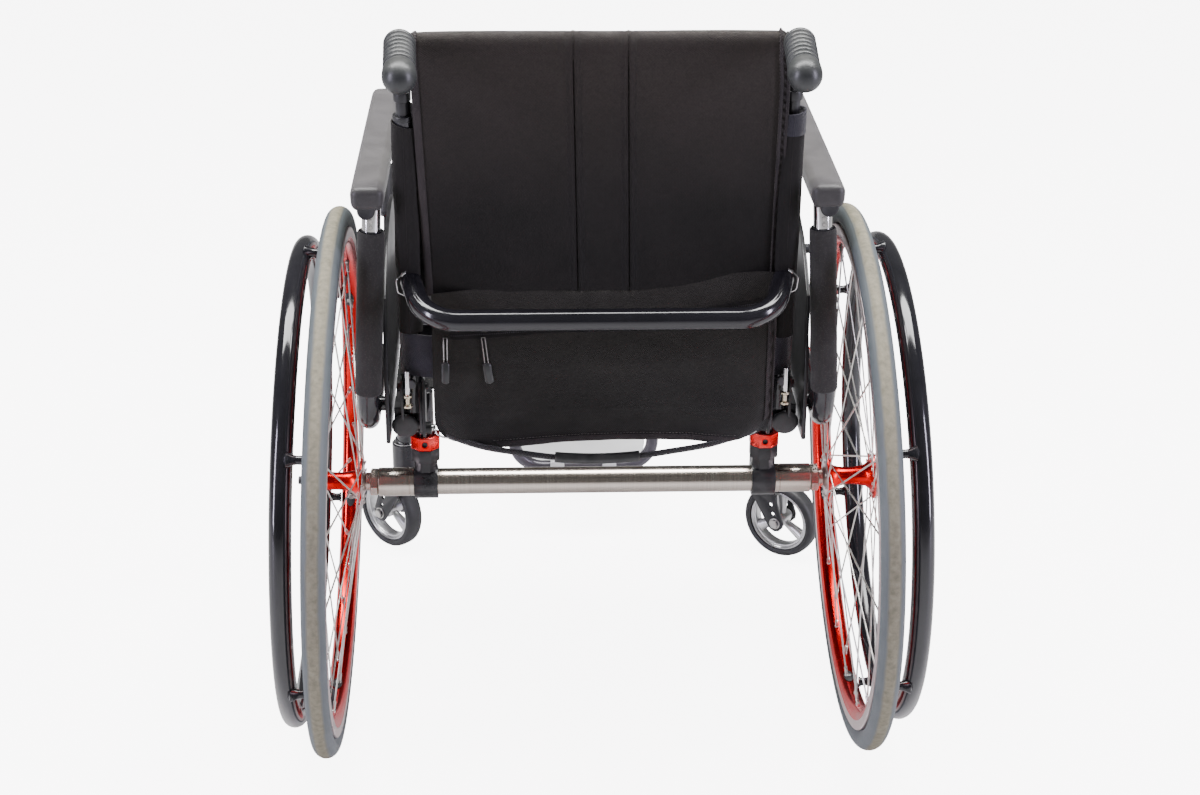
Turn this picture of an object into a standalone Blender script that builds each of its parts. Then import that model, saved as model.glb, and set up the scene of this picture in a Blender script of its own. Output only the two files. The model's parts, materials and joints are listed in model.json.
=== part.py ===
# Rigid-frame active wheelchair with a folding back, telescoping armrests and quick-release wheels.
# Metres, +Z up, floor at z = 0. The chair faces -Y and its left side is +X.

import math

import bmesh
import bpy
from mathutils import Matrix, Vector

# Rear wheels
WHEEL_RADIUS = 0.296
TYRE_WIDTH = 0.0242
TYRE_PROFILE_FRACTION = 0.93
RIM_WIDTH = 0.0230
RIM_DEPTH = 0.0205
RIM_OUTER_RADIUS = WHEEL_RADIUS - TYRE_PROFILE_FRACTION * TYRE_WIDTH
RIM_INNER_RADIUS = RIM_OUTER_RADIUS - RIM_DEPTH
CAMBER = math.radians(2.0)
WHEEL_X = 0.280
HANDRIM_RADIUS = RIM_INNER_RADIUS
HANDRIM_TUBE = 0.0112
HANDRIM_OFFSET = 0.0342
HANDRIM_TABS = 6
SPOKES_PER_FLANGE = 18
SPOKE_CROSS = math.radians(60.0)
SPOKE_RADIUS = 0.0010
FLANGE_RADIUS = 0.0260
FLANGE_THICKNESS = 0.0040
FLANGE_OUTBOARD = 0.0220
FLANGE_INBOARD = -0.0282
HUB_BARREL_RADIUS = 0.0095
HUB_OUTBOARD_END = 0.0300
HUB_INBOARD_END = -0.0322
AXLE_RADIUS = 0.00635
AXLE_INNER_END = -0.0815
AXLE_HEAD_RADIUS = 0.0110
AXLE_HEAD_LENGTH = 0.0050
BUTTON_RADIUS = 0.0045
BUTTON_TRAVEL = 0.0040

# Camber tube and its clamps
CAMBER_TUBE_RADIUS = 0.0143
CAMBER_TUBE_WALL = 0.0025
SLEEVE_RADIUS = 0.0155
SLEEVE_OUTER_X = 0.2334
RECEIVER_NUT_RADIUS = 0.0150
RECEIVER_NUT_LENGTH = 0.0090
RECEIVER_BUSH_RADIUS = 0.0100
CLAMP_X = 0.182
CLAMP_WIDTH = 0.0250
CLAMP_THICKNESS = 0.0038
STEM_RADIUS = 0.0095
STEM_PROUD = 0.0320
COLLAR_RADIUS = 0.0148
COLLAR_HEIGHT = 0.0240
STEM_NUT_RADIUS = 0.0152
STEM_NUT_HEIGHT = 0.0150
STEM_NUT_HOLE = 0.0030

# Side frames, with places along Y counted from the rear axle
AXLE_Y = 0.1395
FRAME_TUBE = 0.0127
RAIL_X = 0.2015
RAIL_RISE = 0.0740
RAIL_SLANT = 0.0670
RAIL_REAR_Y = 0.020
RAIL_REAR_Z = WHEEL_RADIUS + RAIL_RISE
RAIL_FRONT_Y = -0.415
RAIL_FRONT_Z = RAIL_REAR_Z + RAIL_SLANT
STEM_TOP_Z = RAIL_REAR_Z + STEM_PROUD
LEG_X = 0.0897
LEG_BEND_Y = -0.443
LEG_BEND_Z = 0.235
LEG_END_Y = -0.452
LEG_END_Z = 0.160
KNEE_RADIUS = 0.070
LEG_BEND_RADIUS = 0.060
TUBE_WALL = 0.0016
PLUG_RADIUS = 0.0142
PLUG_THICKNESS = 0.0042
STRUT_TUBE = 0.0110
STRUT_TOP_Y = -0.335

# Casters
CASTER_X = 0.229
CASTER_Y = -0.405
CASTER_RADIUS = 0.050
CASTER_TYRE_WIDTH = 0.025
CASTER_RIM_RADIUS = 0.0405
CASTER_HUB_RADIUS = 0.0095
CASTER_TRAIL = 0.032
CASTER_SPOKES = 3
CASTER_TURN = {"left": math.radians(-136.0), "right": math.radians(55.0)}
FORK_PLATE = 0.0030
FORK_CLEARANCE = 0.0035
FORK_CROWN_Z = 0.1035
FORK_CROWN_HEIGHT = 0.0085
FORK_HOLE_PITCH = 0.0125
FORK_STEM_RADIUS = 0.0060
CASTER_BOLT_RADIUS = 0.0035
HOUSING_RADIUS = 0.0165
HOUSING_BOTTOM_Z = 0.1150
HOUSING_TOP_Z = 0.1560

# Footrest
FOOT_TUBE = 0.0080
FOOT_BAR_Z = 0.093
FOOT_BEND_RADIUS = 0.038
FOOT_INSERT = 0.050
FOOTPLATE_DEPTH = 0.127
FOOTPLATE_THICKNESS = 0.0040
FOOTPLATE_MARGIN = 0.012
CLIP_X = 0.034
CLIP_WIDTH = 0.018
CLIP_WALL = 0.0025
CLIP_STEP = 0.0003

# Seat
SLING_THICKNESS = 0.0030
SLING_SAG = 0.0150
SLING_FRONT_Y = -0.344
SLING_REAR_Y = -0.036
CROSS_TUBE = 0.0110
CROSS_FRACTION = 0.50

# Back
BACK_ANGLE = math.radians(6.0)
PIVOT_Y = 0.030
PIVOT_RISE = 0.0500
PIVOT_Z = RAIL_REAR_Z + PIVOT_RISE
PIVOT_BOLT = 0.0040
CANE_X = 0.1915
CANE_RADIUS = 0.0095
CANE_WALL = 0.0018
CANE_TOP = 0.302
CANE_BOTTOM = -0.028
HANDLE_POST = 0.0068
HANDLE_CORNER = 0.388
HANDLE_BEND = 0.022
HANDLE_DROP = math.radians(-9.0)
HANDLE_TOE = math.radians(2.5)
HANDLE_COLLAR_RADIUS = 0.0088
GRIP_RADIUS = 0.0155
GRIP_LENGTH = 0.095
GRIP_RIBS = 7
BRACKET_PLATE = 0.0030
BRACKET_TOP_RADIUS = 0.0135
FABRIC = 0.0032
PANEL_BOTTOM = 0.100
PANEL_SLEEVE_TOP = 0.292
PANEL_SLEEVE_BOTTOM = 0.0650
PANEL_TOP = 0.385
PANEL_SAG = 0.024
PANEL_TOP_HALF_WIDTH = 0.178
STRAP_BOTTOM = 0.0178
STRAP_TOP = 0.062
STRAP_SAG = 0.016
POCKET_HALF_WIDTH = 0.165
POCKET_DEPTH = 0.034
POCKET_BOTTOM = -0.046
POCKET_TOP = 0.078
BAR_RADIUS = 0.0112
BAR_HALF_WIDTH = 0.163
BAR_REACH = 0.072
BAR_HEIGHT = 0.1130
BAR_END_HEIGHT = 0.1300

# Back release
PLUNGER_Y = 0.045
PLUNGER_RISE = 0.0080
PLUNGER_Z = RAIL_REAR_Z + PLUNGER_RISE
PLUNGER_RADIUS = 0.0036
PLUNGER_TRAVEL = 0.008
RING_RADIUS = 0.0105
RING_WIRE = 0.0012
CORD_RADIUS = 0.0032
CORD_GRIP_RADIUS = 0.0056
CORD_GRIP_LENGTH = 0.090

# Armrests
ARM_X = 0.2365
ARM_Y = 0.055
ARM_LEAN = math.radians(3.0)
ARM_TUBE = 0.0111
ARM_WALL = 0.0012
ARM_LIMB_RISE = 0.0080
ARM_LIMB_Z = RAIL_REAR_Z + ARM_LIMB_RISE
ARM_LIMB_FRONT_Y = -0.165
ARM_BEND_RADIUS = 0.045
ARM_UPRIGHT = 0.2230
ARM_TUBE_TOP_Z = ARM_LIMB_Z + ARM_UPRIGHT
FOAM_RADIUS = 0.0140
FOAM_BOTTOM_Z = ARM_LIMB_Z + ARM_BEND_RADIUS - 0.0005
POST_RADIUS = 0.0095
POST_INSERT = 0.130
ARM_BAR_RISE = 0.0265
ARM_BAR_Z = ARM_TUBE_TOP_Z + ARM_BAR_RISE
ARM_BAR_RADIUS = 0.0090
ARM_BAR_X = 0.2300
ARM_BAR_REAR_Y = 0.078
ARM_BAR_FRONT_Y = -0.270
PAD_X = 0.2288
PAD_WIDTH = 0.0340
PAD_REAR_Y = 0.080
PAD_LENGTH = 0.374
PAD_WRAP = 0.0010
PAD_BOTTOM_Z = ARM_BAR_Z - PAD_WRAP
PAD_THICKNESS = 0.0265

# Side guards
GUARD_THICKNESS = 0.0042
GUARD_CLEARANCE = 0.0004
GUARD_REAR_Y = 0.050
GUARD_FRONT_Y = -0.300
GUARD_RISE = 0.2050
GUARD_TOP_Z = RAIL_REAR_Z + GUARD_RISE

# Wheel locks
LOCK_AHEAD = 0.0290
LOCK_Y = -(WHEEL_RADIUS + LOCK_AHEAD)
LOCK_DROP = 0.005
LOCK_X = 0.2370
LOCK_PLATE = 0.0045
LOCK_SHOE_ARM = 0.062
LOCK_SHOE_RADIUS = 0.0060
LOCK_SHOE_REST = math.radians(40.0)
LOCK_HANDLE_ANGLE = math.radians(112.0)
LOCK_HANDLE_LENGTH = 0.120
LOCK_SHOE_END_X = 0.300

# Fits
GAP = 0.0003
LEG_FIT = 0.0006
TURNED_STEPS = 16
FRAME_FACETS = 3
WHEEL_STEPS = 36
CASTER_STEPS = 20
SIDES = {"left": 1.0, "right": -1.0}

FRAME_BLACK = ("frame_black", (0.012, 0.012, 0.013), 0.22, 0.0)
SATIN_BLACK = ("satin_black", (0.025, 0.025, 0.027), 0.45, 0.0)
PLUG_GREY = ("plug_grey", (0.080, 0.080, 0.082), 0.60, 0.0)
ANODISED_RED = ("anodised_red", (0.600, 0.010, 0.012), 0.28, 1.0)
BRUSHED = ("brushed_aluminium", (0.720, 0.690, 0.640), 0.34, 1.0)
CHROME = ("chrome", (0.850, 0.850, 0.850), 0.10, 1.0)
TYRE_GREY = ("tyre_grey", (0.300, 0.305, 0.300), 0.75, 0.0)
RUBBER = ("rubber_black", (0.020, 0.020, 0.021), 0.55, 0.0)
FOAM = ("foam_grey", (0.100, 0.092, 0.085), 0.90, 0.0)
PAD = ("pad_grey", (0.420, 0.390, 0.370), 0.70, 0.0)
CLOTH = ("back_cloth", (0.022, 0.021, 0.021), 0.90, 0.0)
SLING = ("sling_cloth", (0.018, 0.018, 0.018), 0.92, 0.0)
CORD = ("braided_cord", (0.020, 0.020, 0.020), 0.80, 0.0)
PLATE_GREY = ("plate_grey", (0.360, 0.360, 0.360), 0.45, 0.0)
CASTER_SILVER = ("caster_silver", (0.700, 0.700, 0.690), 0.35, 0.3)


def at(x, y, z):
    """A point whose y is counted from the rear axle."""
    return Vector((x, AXLE_Y + y, z))


def collection(name):
    made = bpy.data.collections.new(name)
    bpy.context.scene.collection.children.link(made)
    return made


def clear_scene():
    for old in list(bpy.data.objects):
        bpy.data.objects.remove(old, do_unlink=True)


clear_scene()
PARTS = collection("rigid_wheelchair")
CUTTERS = collection("cutters")
MATERIALS = {}


def material(spec):
    name, colour, roughness, metallic = spec
    if name not in MATERIALS:
        made = bpy.data.materials.new(name)
        made.use_nodes = True
        shader = made.node_tree.nodes["Principled BSDF"]
        shader.inputs["Base Color"].default_value = (*colour, 1.0)
        shader.inputs["Roughness"].default_value = roughness
        shader.inputs["Metallic"].default_value = metallic
        MATERIALS[name] = made
    return MATERIALS[name]


def new_object(name, data, matrix=None):
    """An object in the scratch collection, out of the finished model."""
    made = bpy.data.objects.new(name, data)
    CUTTERS.objects.link(made)
    made.matrix_world = matrix or Matrix()
    made.hide_render = True
    made.display_type = "WIRE"
    return made


def evaluated(obj):
    """The object as one welded mesh object, with its modifiers and curve bevel worked out."""
    bpy.context.view_layer.update()
    graph = bpy.context.evaluated_depsgraph_get()
    mesh = bpy.data.meshes.new_from_object(obj.evaluated_get(graph))
    mesh.transform(obj.matrix_world)
    work = bmesh.new()
    work.from_mesh(mesh)
    bmesh.ops.remove_doubles(work, verts=work.verts, dist=0.000002)
    work.to_mesh(mesh)
    work.free()
    name = obj.name
    bpy.data.objects.remove(obj)
    return new_object(name, mesh)


def axes(origin, z_axis, x_axis=(0.0, 1.0, 0.0)):
    """A matrix at origin with its Z along z_axis and its X as near x_axis as it can be."""
    z = Vector(z_axis).normalized()
    x = Vector(x_axis)
    x = (x - z * x.dot(z)).normalized()
    y = z.cross(x)
    turned_frame = Matrix((x, y, z)).transposed().to_4x4()
    return Matrix.Translation(origin) @ turned_frame


def turned(name, profile, matrix, steps=TURNED_STEPS, closed=False):
    """A profile of (radius, height) points, listed down its outer side, spun about Z."""
    mesh = bpy.data.meshes.new(name)
    points = [(radius, 0.0, height) for radius, height in profile]
    edges = [(i, i + 1) for i in range(len(points) - 1)]
    if closed:
        edges.append((len(points) - 1, 0))
    mesh.from_pydata(points, edges, [])
    obj = new_object(name, mesh, matrix)
    screw = obj.modifiers.new("spin", "SCREW")
    screw.steps = steps
    screw.render_steps = steps
    screw.use_merge_vertices = True
    screw.merge_threshold = 0.00001
    return evaluated(obj)


def rod(name, start, end, radius, steps=12, x_axis=(0.0, 1.0, 0.0)):
    """A plain cylinder between two points."""
    start = Vector(start)
    length = (Vector(end) - start).length
    profile = [(0.0, length), (radius, length), (radius, 0.0), (0.0, 0.0)]
    return turned(name, profile, axes(start, Vector(end) - start, x_axis), steps)


def rounded_path(points, radii, step=math.radians(15.0)):
    """The path through points, with an arc of the given radius at each inner corner."""
    path = [Vector(points[0])]
    for before, corner, after, radius in zip(points, points[1:], points[2:], radii):
        corner = Vector(corner)
        to_before = (Vector(before) - corner).normalized()
        to_after = (Vector(after) - corner).normalized()
        half = to_before.angle(to_after) / 2.0
        centre = corner + (to_before + to_after).normalized() * (radius / math.sin(half))
        start = corner + to_before * (radius / math.tan(half)) - centre
        axis = to_before.cross(to_after).normalized()
        sweep = math.pi - 2.0 * half
        count = max(1, math.ceil(sweep / step))
        for i in range(count + 1):
            path.append(centre + Matrix.Rotation(-sweep * i / count, 3, axis) @ start)
    path.append(Vector(points[-1]))
    return path


def tube(name, path, radius, resolution=4, twist=None):
    """A round bar along a path of points."""
    data = bpy.data.curves.new(name, "CURVE")
    data.dimensions = "3D"
    data.bevel_depth = radius
    data.bevel_resolution = resolution
    data.use_fill_caps = True
    if twist:
        data.twist_mode = twist
    spline = data.splines.new("POLY")
    spline.points.add(len(path) - 1)
    for point, place in zip(spline.points, path):
        point.co = (*place, 1.0)
    return evaluated(new_object(name, data))


def plate(name, outlines, thickness, matrix):
    """A flat plate: the first outline is its edge, and the others are holes in it."""
    data = bpy.data.curves.new(name, "CURVE")
    data.dimensions = "2D"
    data.fill_mode = "BOTH"
    data.extrude = thickness / 2.0
    for outline in outlines:
        spline = data.splines.new("POLY")
        spline.points.add(len(outline) - 1)
        for point, (x, y) in zip(spline.points, outline):
            point.co = (x, y, 0.0, 1.0)
        spline.use_cyclic_u = True
    return evaluated(new_object(name, data, matrix))


def circle(centre, radius, count=16):
    """Points of a round hole in a plate."""
    turns = [2.0 * math.pi * i / count for i in range(count)]
    return [(centre[0] + radius * math.cos(a), centre[1] + radius * math.sin(a)) for a in turns]


def arc(centre, radius, start, end, count):
    """Points of an arc in a plate's outline, with angles in degrees."""
    turns = [math.radians(start + (end - start) * i / count) for i in range(count + 1)]
    return [(centre[0] + radius * math.cos(a), centre[1] + radius * math.sin(a)) for a in turns]


def box(name, low, high, bevel=0.0):
    """A box between two corners, with rounded edges where bevel is given."""
    mesh = bpy.data.meshes.new(name)
    work = bmesh.new()
    bmesh.ops.create_cube(work, size=1.0)
    work.to_mesh(mesh)
    work.free()
    low = Vector(low)
    high = Vector(high)
    size = high - low
    mesh.transform(Matrix.Translation((low + high) / 2.0) @ Matrix.Diagonal((*size, 1.0)))
    obj = new_object(name, mesh)
    if bevel:
        edge = obj.modifiers.new("edges", "BEVEL")
        edge.width = bevel
        edge.segments = 2
        obj = evaluated(obj)
    return obj


def boolean(obj, others, operation, use_self=False):
    for other in others:
        step = obj.modifiers.new(operation.lower(), "BOOLEAN")
        step.operation = operation
        step.solver = "EXACT"
        step.use_self = use_self
        step.object = other
    result = evaluated(obj)
    for other in others:
        bpy.data.objects.remove(other)
    return result


def union(obj, *others, use_self=False):
    return boolean(obj, others, "UNION", use_self)


def cut(obj, *others):
    return boolean(obj, others, "DIFFERENCE")


def empty(name, matrix):
    """A joint's own frame, with the moving pieces parented to it."""
    made = bpy.data.objects.new(name, None)
    PARTS.objects.link(made)
    made.matrix_world = matrix
    made.empty_display_size = 0.03
    return made


def part(name, obj, spec, joint=None):
    """The finished sub-part: named, coloured, and carried by its joint's frame."""
    obj.name = name
    obj.data.name = name
    obj.data.materials.clear()
    obj.data.materials.append(material(spec))
    CUTTERS.objects.unlink(obj)
    PARTS.objects.link(obj)
    obj.hide_render = False
    obj.display_type = "TEXTURED"
    obj.data.shade_smooth()
    obj.data.set_sharp_from_angle(angle=math.radians(35.0))
    if joint:
        obj.parent = joint
        obj.matrix_parent_inverse = joint.matrix_world.inverted()
    return obj


# Places worked out from the driving dimensions

TYRE_RADIUS = TYRE_WIDTH / 2.0
AXLE_Z = (WHEEL_RADIUS - TYRE_RADIUS) * math.cos(CAMBER) + TYRE_RADIUS
CAMBER_TUBE_Z = AXLE_Z - (WHEEL_X - SLEEVE_OUTER_X) * math.tan(CAMBER)
CLAMP_RADIUS = CAMBER_TUBE_RADIUS + CLAMP_THICKNESS
CLAMP_OUTER_X = CLAMP_X + CLAMP_WIDTH / 2.0
COLLAR_TOP_Z = CAMBER_TUBE_Z + CLAMP_RADIUS + COLLAR_HEIGHT
GUARD_INNER_X = RAIL_X + PLUG_RADIUS + GUARD_CLEARANCE
RAIL_SLOPE = (RAIL_FRONT_Z - RAIL_REAR_Z) / (RAIL_REAR_Y - RAIL_FRONT_Y)


def rail_z(y):
    """Height of the seat rail's centre line at a place counted from the rear axle."""
    return RAIL_REAR_Z + (RAIL_REAR_Y - y) * RAIL_SLOPE


def wheel_frame(side):
    """The rear wheel's frame, with Z along its axle, pointing outboard."""
    outward = (side * math.cos(CAMBER), 0.0, math.sin(CAMBER))
    return axes(at(side * WHEEL_X, 0.0, AXLE_Z), outward)


def back_frame():
    """The back's frame at its pivot: X across, Y to the rear, Z up along the canes."""
    return Matrix.Translation(at(0.0, PIVOT_Y, PIVOT_Z)) @ Matrix.Rotation(-BACK_ANGLE, 4, "X")


def frame_path(side):
    """The side frame's tube, from the rail's rear end over the knee to the leg's lower end."""
    corners = [
        at(side * RAIL_X, RAIL_REAR_Y, RAIL_REAR_Z),
        at(side * RAIL_X, RAIL_FRONT_Y, RAIL_FRONT_Z),
        at(side * LEG_X, LEG_BEND_Y, LEG_BEND_Z),
        at(side * LEG_X, LEG_END_Y, LEG_END_Z),
    ]
    return rounded_path(corners, [KNEE_RADIUS, LEG_BEND_RADIUS])


def on_leg(side, fraction):
    """A point between the knee's corner and the leg's bend."""
    knee = at(side * RAIL_X, RAIL_FRONT_Y, RAIL_FRONT_Z)
    return knee.lerp(at(side * LEG_X, LEG_BEND_Y, LEG_BEND_Z), fraction)


def leg_axis(side):
    start = at(side * LEG_X, LEG_BEND_Y, LEG_BEND_Z)
    return (at(side * LEG_X, LEG_END_Y, LEG_END_Z) - start).normalized()


# Rear wheels

def tyre(frame):
    middle = WHEEL_RADIUS - TYRE_RADIUS
    seat = RIM_OUTER_RADIUS + GAP
    half = math.acos((seat - middle) / TYRE_RADIUS)
    count = 6
    turns = [half - 2.0 * half * i / count for i in range(count + 1)]
    profile = [(middle + TYRE_RADIUS * math.cos(a), TYRE_RADIUS * math.sin(a)) for a in turns]
    return turned("tyre", profile, frame, WHEEL_STEPS, closed=True)


def rim(frame):
    half = RIM_WIDTH / 2.0
    shoulder = RIM_INNER_RADIUS + 0.006
    profile = [
        (RIM_OUTER_RADIUS, half),
        (RIM_OUTER_RADIUS, -half),
        (shoulder, -half),
        (RIM_INNER_RADIUS, -0.6 * half),
        (RIM_INNER_RADIUS, 0.6 * half),
        (shoulder, half),
    ]
    return turned("rim", profile, frame, WHEEL_STEPS, closed=True)


def spoke(frame, flange, hole_angle, sign, inner_radius, outer_radius):
    """One spoke from its hole in a hub flange to the rim, crossing its neighbours."""
    rim_angle = hole_angle + sign * SPOKE_CROSS
    lean = sign * 0.0018
    start = Vector((inner_radius * math.cos(hole_angle), inner_radius * math.sin(hole_angle), flange + lean))
    end_height = 0.002 if flange > 0.0 else -0.002
    end = Vector((outer_radius * math.cos(rim_angle), outer_radius * math.sin(rim_angle), end_height))
    return rod("spoke", frame @ start, frame @ end, SPOKE_RADIUS, steps=3)


def hub(frame):
    """The hub shell with its laced spokes."""
    bore = AXLE_RADIUS + 0.00045
    half = FLANGE_THICKNESS / 2.0
    profile = [
        (0.0115, HUB_OUTBOARD_END),
        (0.0115, FLANGE_OUTBOARD + half),
        (FLANGE_RADIUS, FLANGE_OUTBOARD + half),
        (FLANGE_RADIUS, FLANGE_OUTBOARD - half),
        (0.0130, FLANGE_OUTBOARD - half - 0.003),
        (HUB_BARREL_RADIUS, FLANGE_OUTBOARD - half - 0.012),
        (HUB_BARREL_RADIUS, FLANGE_INBOARD + half + 0.012),
        (0.0130, FLANGE_INBOARD + half + 0.003),
        (FLANGE_RADIUS, FLANGE_INBOARD + half),
        (FLANGE_RADIUS, FLANGE_INBOARD - half),
        (0.0115, FLANGE_INBOARD - half),
        (0.0115, HUB_INBOARD_END),
        (bore, HUB_INBOARD_END),
        (bore, HUB_OUTBOARD_END),
    ]
    shell = turned("hub", profile, frame, TURNED_STEPS, closed=True)
    pitch = 2.0 * math.pi / SPOKES_PER_FLANGE
    outer = RIM_INNER_RADIUS - 0.0009
    spokes = []
    for flange, shift in ((FLANGE_OUTBOARD, 0.0), (FLANGE_INBOARD, 0.5 * pitch)):
        for i in range(SPOKES_PER_FLANGE):
            sign = 1.0 if i % 2 == 0 else -1.0
            angle = shift + i * pitch
            spokes.append(spoke(frame, flange, angle, sign, FLANGE_RADIUS - 0.004, outer))
    lace = bmesh.new()
    for one in spokes:
        lace.from_mesh(one.data)
        bpy.data.objects.remove(one)
    mesh = bpy.data.meshes.new("spokes")
    lace.to_mesh(mesh)
    lace.free()
    return union(shell, new_object("spokes", mesh), use_self=True)


def handrim(frame):
    """The push ring with the studs that stand off the rim."""
    count = 7
    turns = [2.0 * math.pi * i / count for i in range(count)]
    profile = []
    for a in turns:
        radius = HANDRIM_RADIUS + HANDRIM_TUBE * math.cos(a)
        profile.append((radius, HANDRIM_OFFSET - HANDRIM_TUBE * math.sin(a)))
    ring = turned("handrim", profile, frame, WHEEL_STEPS, closed=True)
    studs = []
    for i in range(HANDRIM_TABS):
        a = 2.0 * math.pi * (i + 0.5) / HANDRIM_TABS
        reach = HANDRIM_RADIUS + 0.0075
        foot = frame @ Vector((reach * math.cos(a), reach * math.sin(a), RIM_WIDTH / 2.0 + GAP))
        tip = frame @ Vector((reach * math.cos(a), reach * math.sin(a), HANDRIM_OFFSET))
        studs.append(rod("stud", foot, tip, 0.0040, 6))
    return union(ring, *studs)


def quick_axle(frame):
    """The wheel's pull-out axle, with a pocket for its button."""
    seat = HUB_OUTBOARD_END + GAP
    head = seat + AXLE_HEAD_LENGTH
    pocket = HUB_OUTBOARD_END - 0.006
    profile = [
        (0.0, pocket),
        (BUTTON_RADIUS + 0.0005, pocket),
        (BUTTON_RADIUS + 0.0005, head),
        (AXLE_HEAD_RADIUS, head),
        (AXLE_HEAD_RADIUS, seat),
        (AXLE_RADIUS, seat),
        (AXLE_RADIUS, AXLE_INNER_END + 0.002),
        (AXLE_RADIUS - 0.002, AXLE_INNER_END),
        (0.0, AXLE_INNER_END),
    ]
    return turned("quick_axle", profile, frame, 12)


def axle_button(frame):
    bottom = HUB_OUTBOARD_END - 0.006 + BUTTON_TRAVEL + 0.001
    top = HUB_OUTBOARD_END + GAP + AXLE_HEAD_LENGTH + BUTTON_TRAVEL + 0.0007
    profile = [
        (0.0, top),
        (BUTTON_RADIUS - 0.001, top),
        (BUTTON_RADIUS, top - 0.001),
        (BUTTON_RADIUS, bottom),
        (0.0, bottom),
    ]
    return turned("axle_button", profile, frame, 12)


def rear_wheel(name, side):
    frame = wheel_frame(side)
    axle_joint = empty("axle_slide_" + name, frame)
    button_joint = empty("button_slide_" + name, frame)
    spin_joint = empty("wheel_spin_" + name, frame)
    part("quick_axle_" + name, quick_axle(frame), CHROME, axle_joint)
    part("axle_button_" + name, axle_button(frame), SATIN_BLACK, button_joint)
    part("tyre_" + name, tyre(frame), TYRE_GREY, spin_joint)
    part("rim_" + name, rim(frame), ANODISED_RED, spin_joint)
    part("hub_" + name, hub(frame), ANODISED_RED, spin_joint)
    part("handrim_" + name, handrim(frame), FRAME_BLACK, spin_joint)


# Camber tube, its end sleeves and the clamps that carry the frame

def along_x(x, side, z=CAMBER_TUBE_Z):
    return axes(at(side * x, 0.0, z), (side, 0.0, 0.0))


def camber_tube():
    half = CLAMP_OUTER_X
    inner = CAMBER_TUBE_RADIUS - CAMBER_TUBE_WALL
    profile = [(CAMBER_TUBE_RADIUS, half), (CAMBER_TUBE_RADIUS, -half), (inner, -half), (inner, half)]
    return turned("camber_tube", profile, along_x(0.0, 1.0), closed=True)


def axle_receiver(side):
    """The sleeve and plug in the tube's end, and the cambered nut and bush that hold the axle."""
    sleeve_inner_x = CLAMP_OUTER_X + GAP
    plug = CAMBER_TUBE_RADIUS - CAMBER_TUBE_WALL - GAP
    plug_inner_x = CLAMP_OUTER_X - 0.035
    outer = [
        (0.0, SLEEVE_OUTER_X),
        (SLEEVE_RADIUS, SLEEVE_OUTER_X),
        (SLEEVE_RADIUS, sleeve_inner_x),
        (plug, sleeve_inner_x),
        (plug, plug_inner_x),
        (0.0, plug_inner_x),
    ]
    body = turned("axle_receiver", outer, along_x(0.0, side))
    frame = wheel_frame(side)
    nut_start = (SLEEVE_OUTER_X - WHEEL_X) / math.cos(CAMBER) - 0.001
    nut_end = nut_start + 0.001 + RECEIVER_NUT_LENGTH
    nut_profile = [
        (0.0, HUB_INBOARD_END - GAP),
        (RECEIVER_BUSH_RADIUS, HUB_INBOARD_END - GAP),
        (RECEIVER_BUSH_RADIUS, nut_end),
        (RECEIVER_NUT_RADIUS, nut_end),
        (RECEIVER_NUT_RADIUS, nut_start),
        (0.0, nut_start),
    ]
    nut = turned("nut", nut_profile, frame, 12)
    low = frame @ Vector((0.0, 0.0, -0.120))
    high = frame @ Vector((0.0, 0.0, 0.0))
    return cut(union(body, nut), rod("bore", low, high, AXLE_RADIUS + GAP, 12))


def octagon(radius, low, high, centre):
    """An eight-sided block on a vertical axis, with flats to the front and rear."""
    corner = radius / math.cos(math.pi / 8.0)
    profile = [(0.0, high), (corner, high), (corner, low), (0.0, low)]
    turn = Matrix.Rotation(math.pi / 8.0, 4, "Z")
    return turned("octagon", profile, Matrix.Translation(centre) @ turn, 8)


def axle_clamp(side):
    """The band round the camber tube and the eight-sided collar that takes the stem."""
    inner = CAMBER_TUBE_RADIUS + GAP
    half = CLAMP_WIDTH / 2.0
    profile = [(CLAMP_RADIUS, half), (CLAMP_RADIUS, -half), (inner, -half), (inner, half)]
    band = turned("axle_clamp", profile, along_x(CLAMP_X, side), closed=True)
    centre = at(side * CLAMP_X, 0.0, 0.0)
    neck_low = CAMBER_TUBE_Z + CLAMP_RADIUS - 0.0025
    neck_high = COLLAR_TOP_Z - 0.014
    neck = octagon(COLLAR_RADIUS * 0.82, neck_low, neck_high + 0.001, centre)
    collar = octagon(COLLAR_RADIUS, neck_high, COLLAR_TOP_Z, centre)
    start = centre + Vector((0.0, 0.0, neck_low + 0.004))
    bore = rod("bore", start, start + Vector((0.0, 0.0, 0.05)), STEM_RADIUS + GAP, 16)
    return cut(union(band, neck, collar), bore)


def stem_nut(side):
    """The eight-sided lock nut on the stem, with a hole for its pin key in the rear flat."""
    centre = at(side * CLAMP_X, 0.0, 0.0)
    low = COLLAR_TOP_Z + GAP
    high = low + STEM_NUT_HEIGHT
    body = octagon(STEM_NUT_RADIUS, low, high, centre)
    start = centre + Vector((0.0, 0.0, low - 0.01))
    bore = rod("bore", start, start + Vector((0.0, 0.0, 0.05)), STEM_RADIUS + GAP, 16)
    middle = centre + Vector((0.0, STEM_RADIUS + 0.003, (low + high) / 2.0))
    key = rod("key", middle, middle + Vector((0.0, 0.02, 0.0)), STEM_NUT_HOLE, 12, (1.0, 0.0, 0.0))
    return cut(body, bore, key)


# Side frames

def rail_axis():
    """Direction along the rail to the rear."""
    return Vector((0.0, 1.0, -RAIL_SLOPE)).normalized()


def lock_pivot(side):
    """Centre of the wheel lock's pivot, at the rail's own x."""
    return at(side * RAIL_X, LOCK_Y, rail_z(LOCK_Y) - LOCK_DROP)


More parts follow.
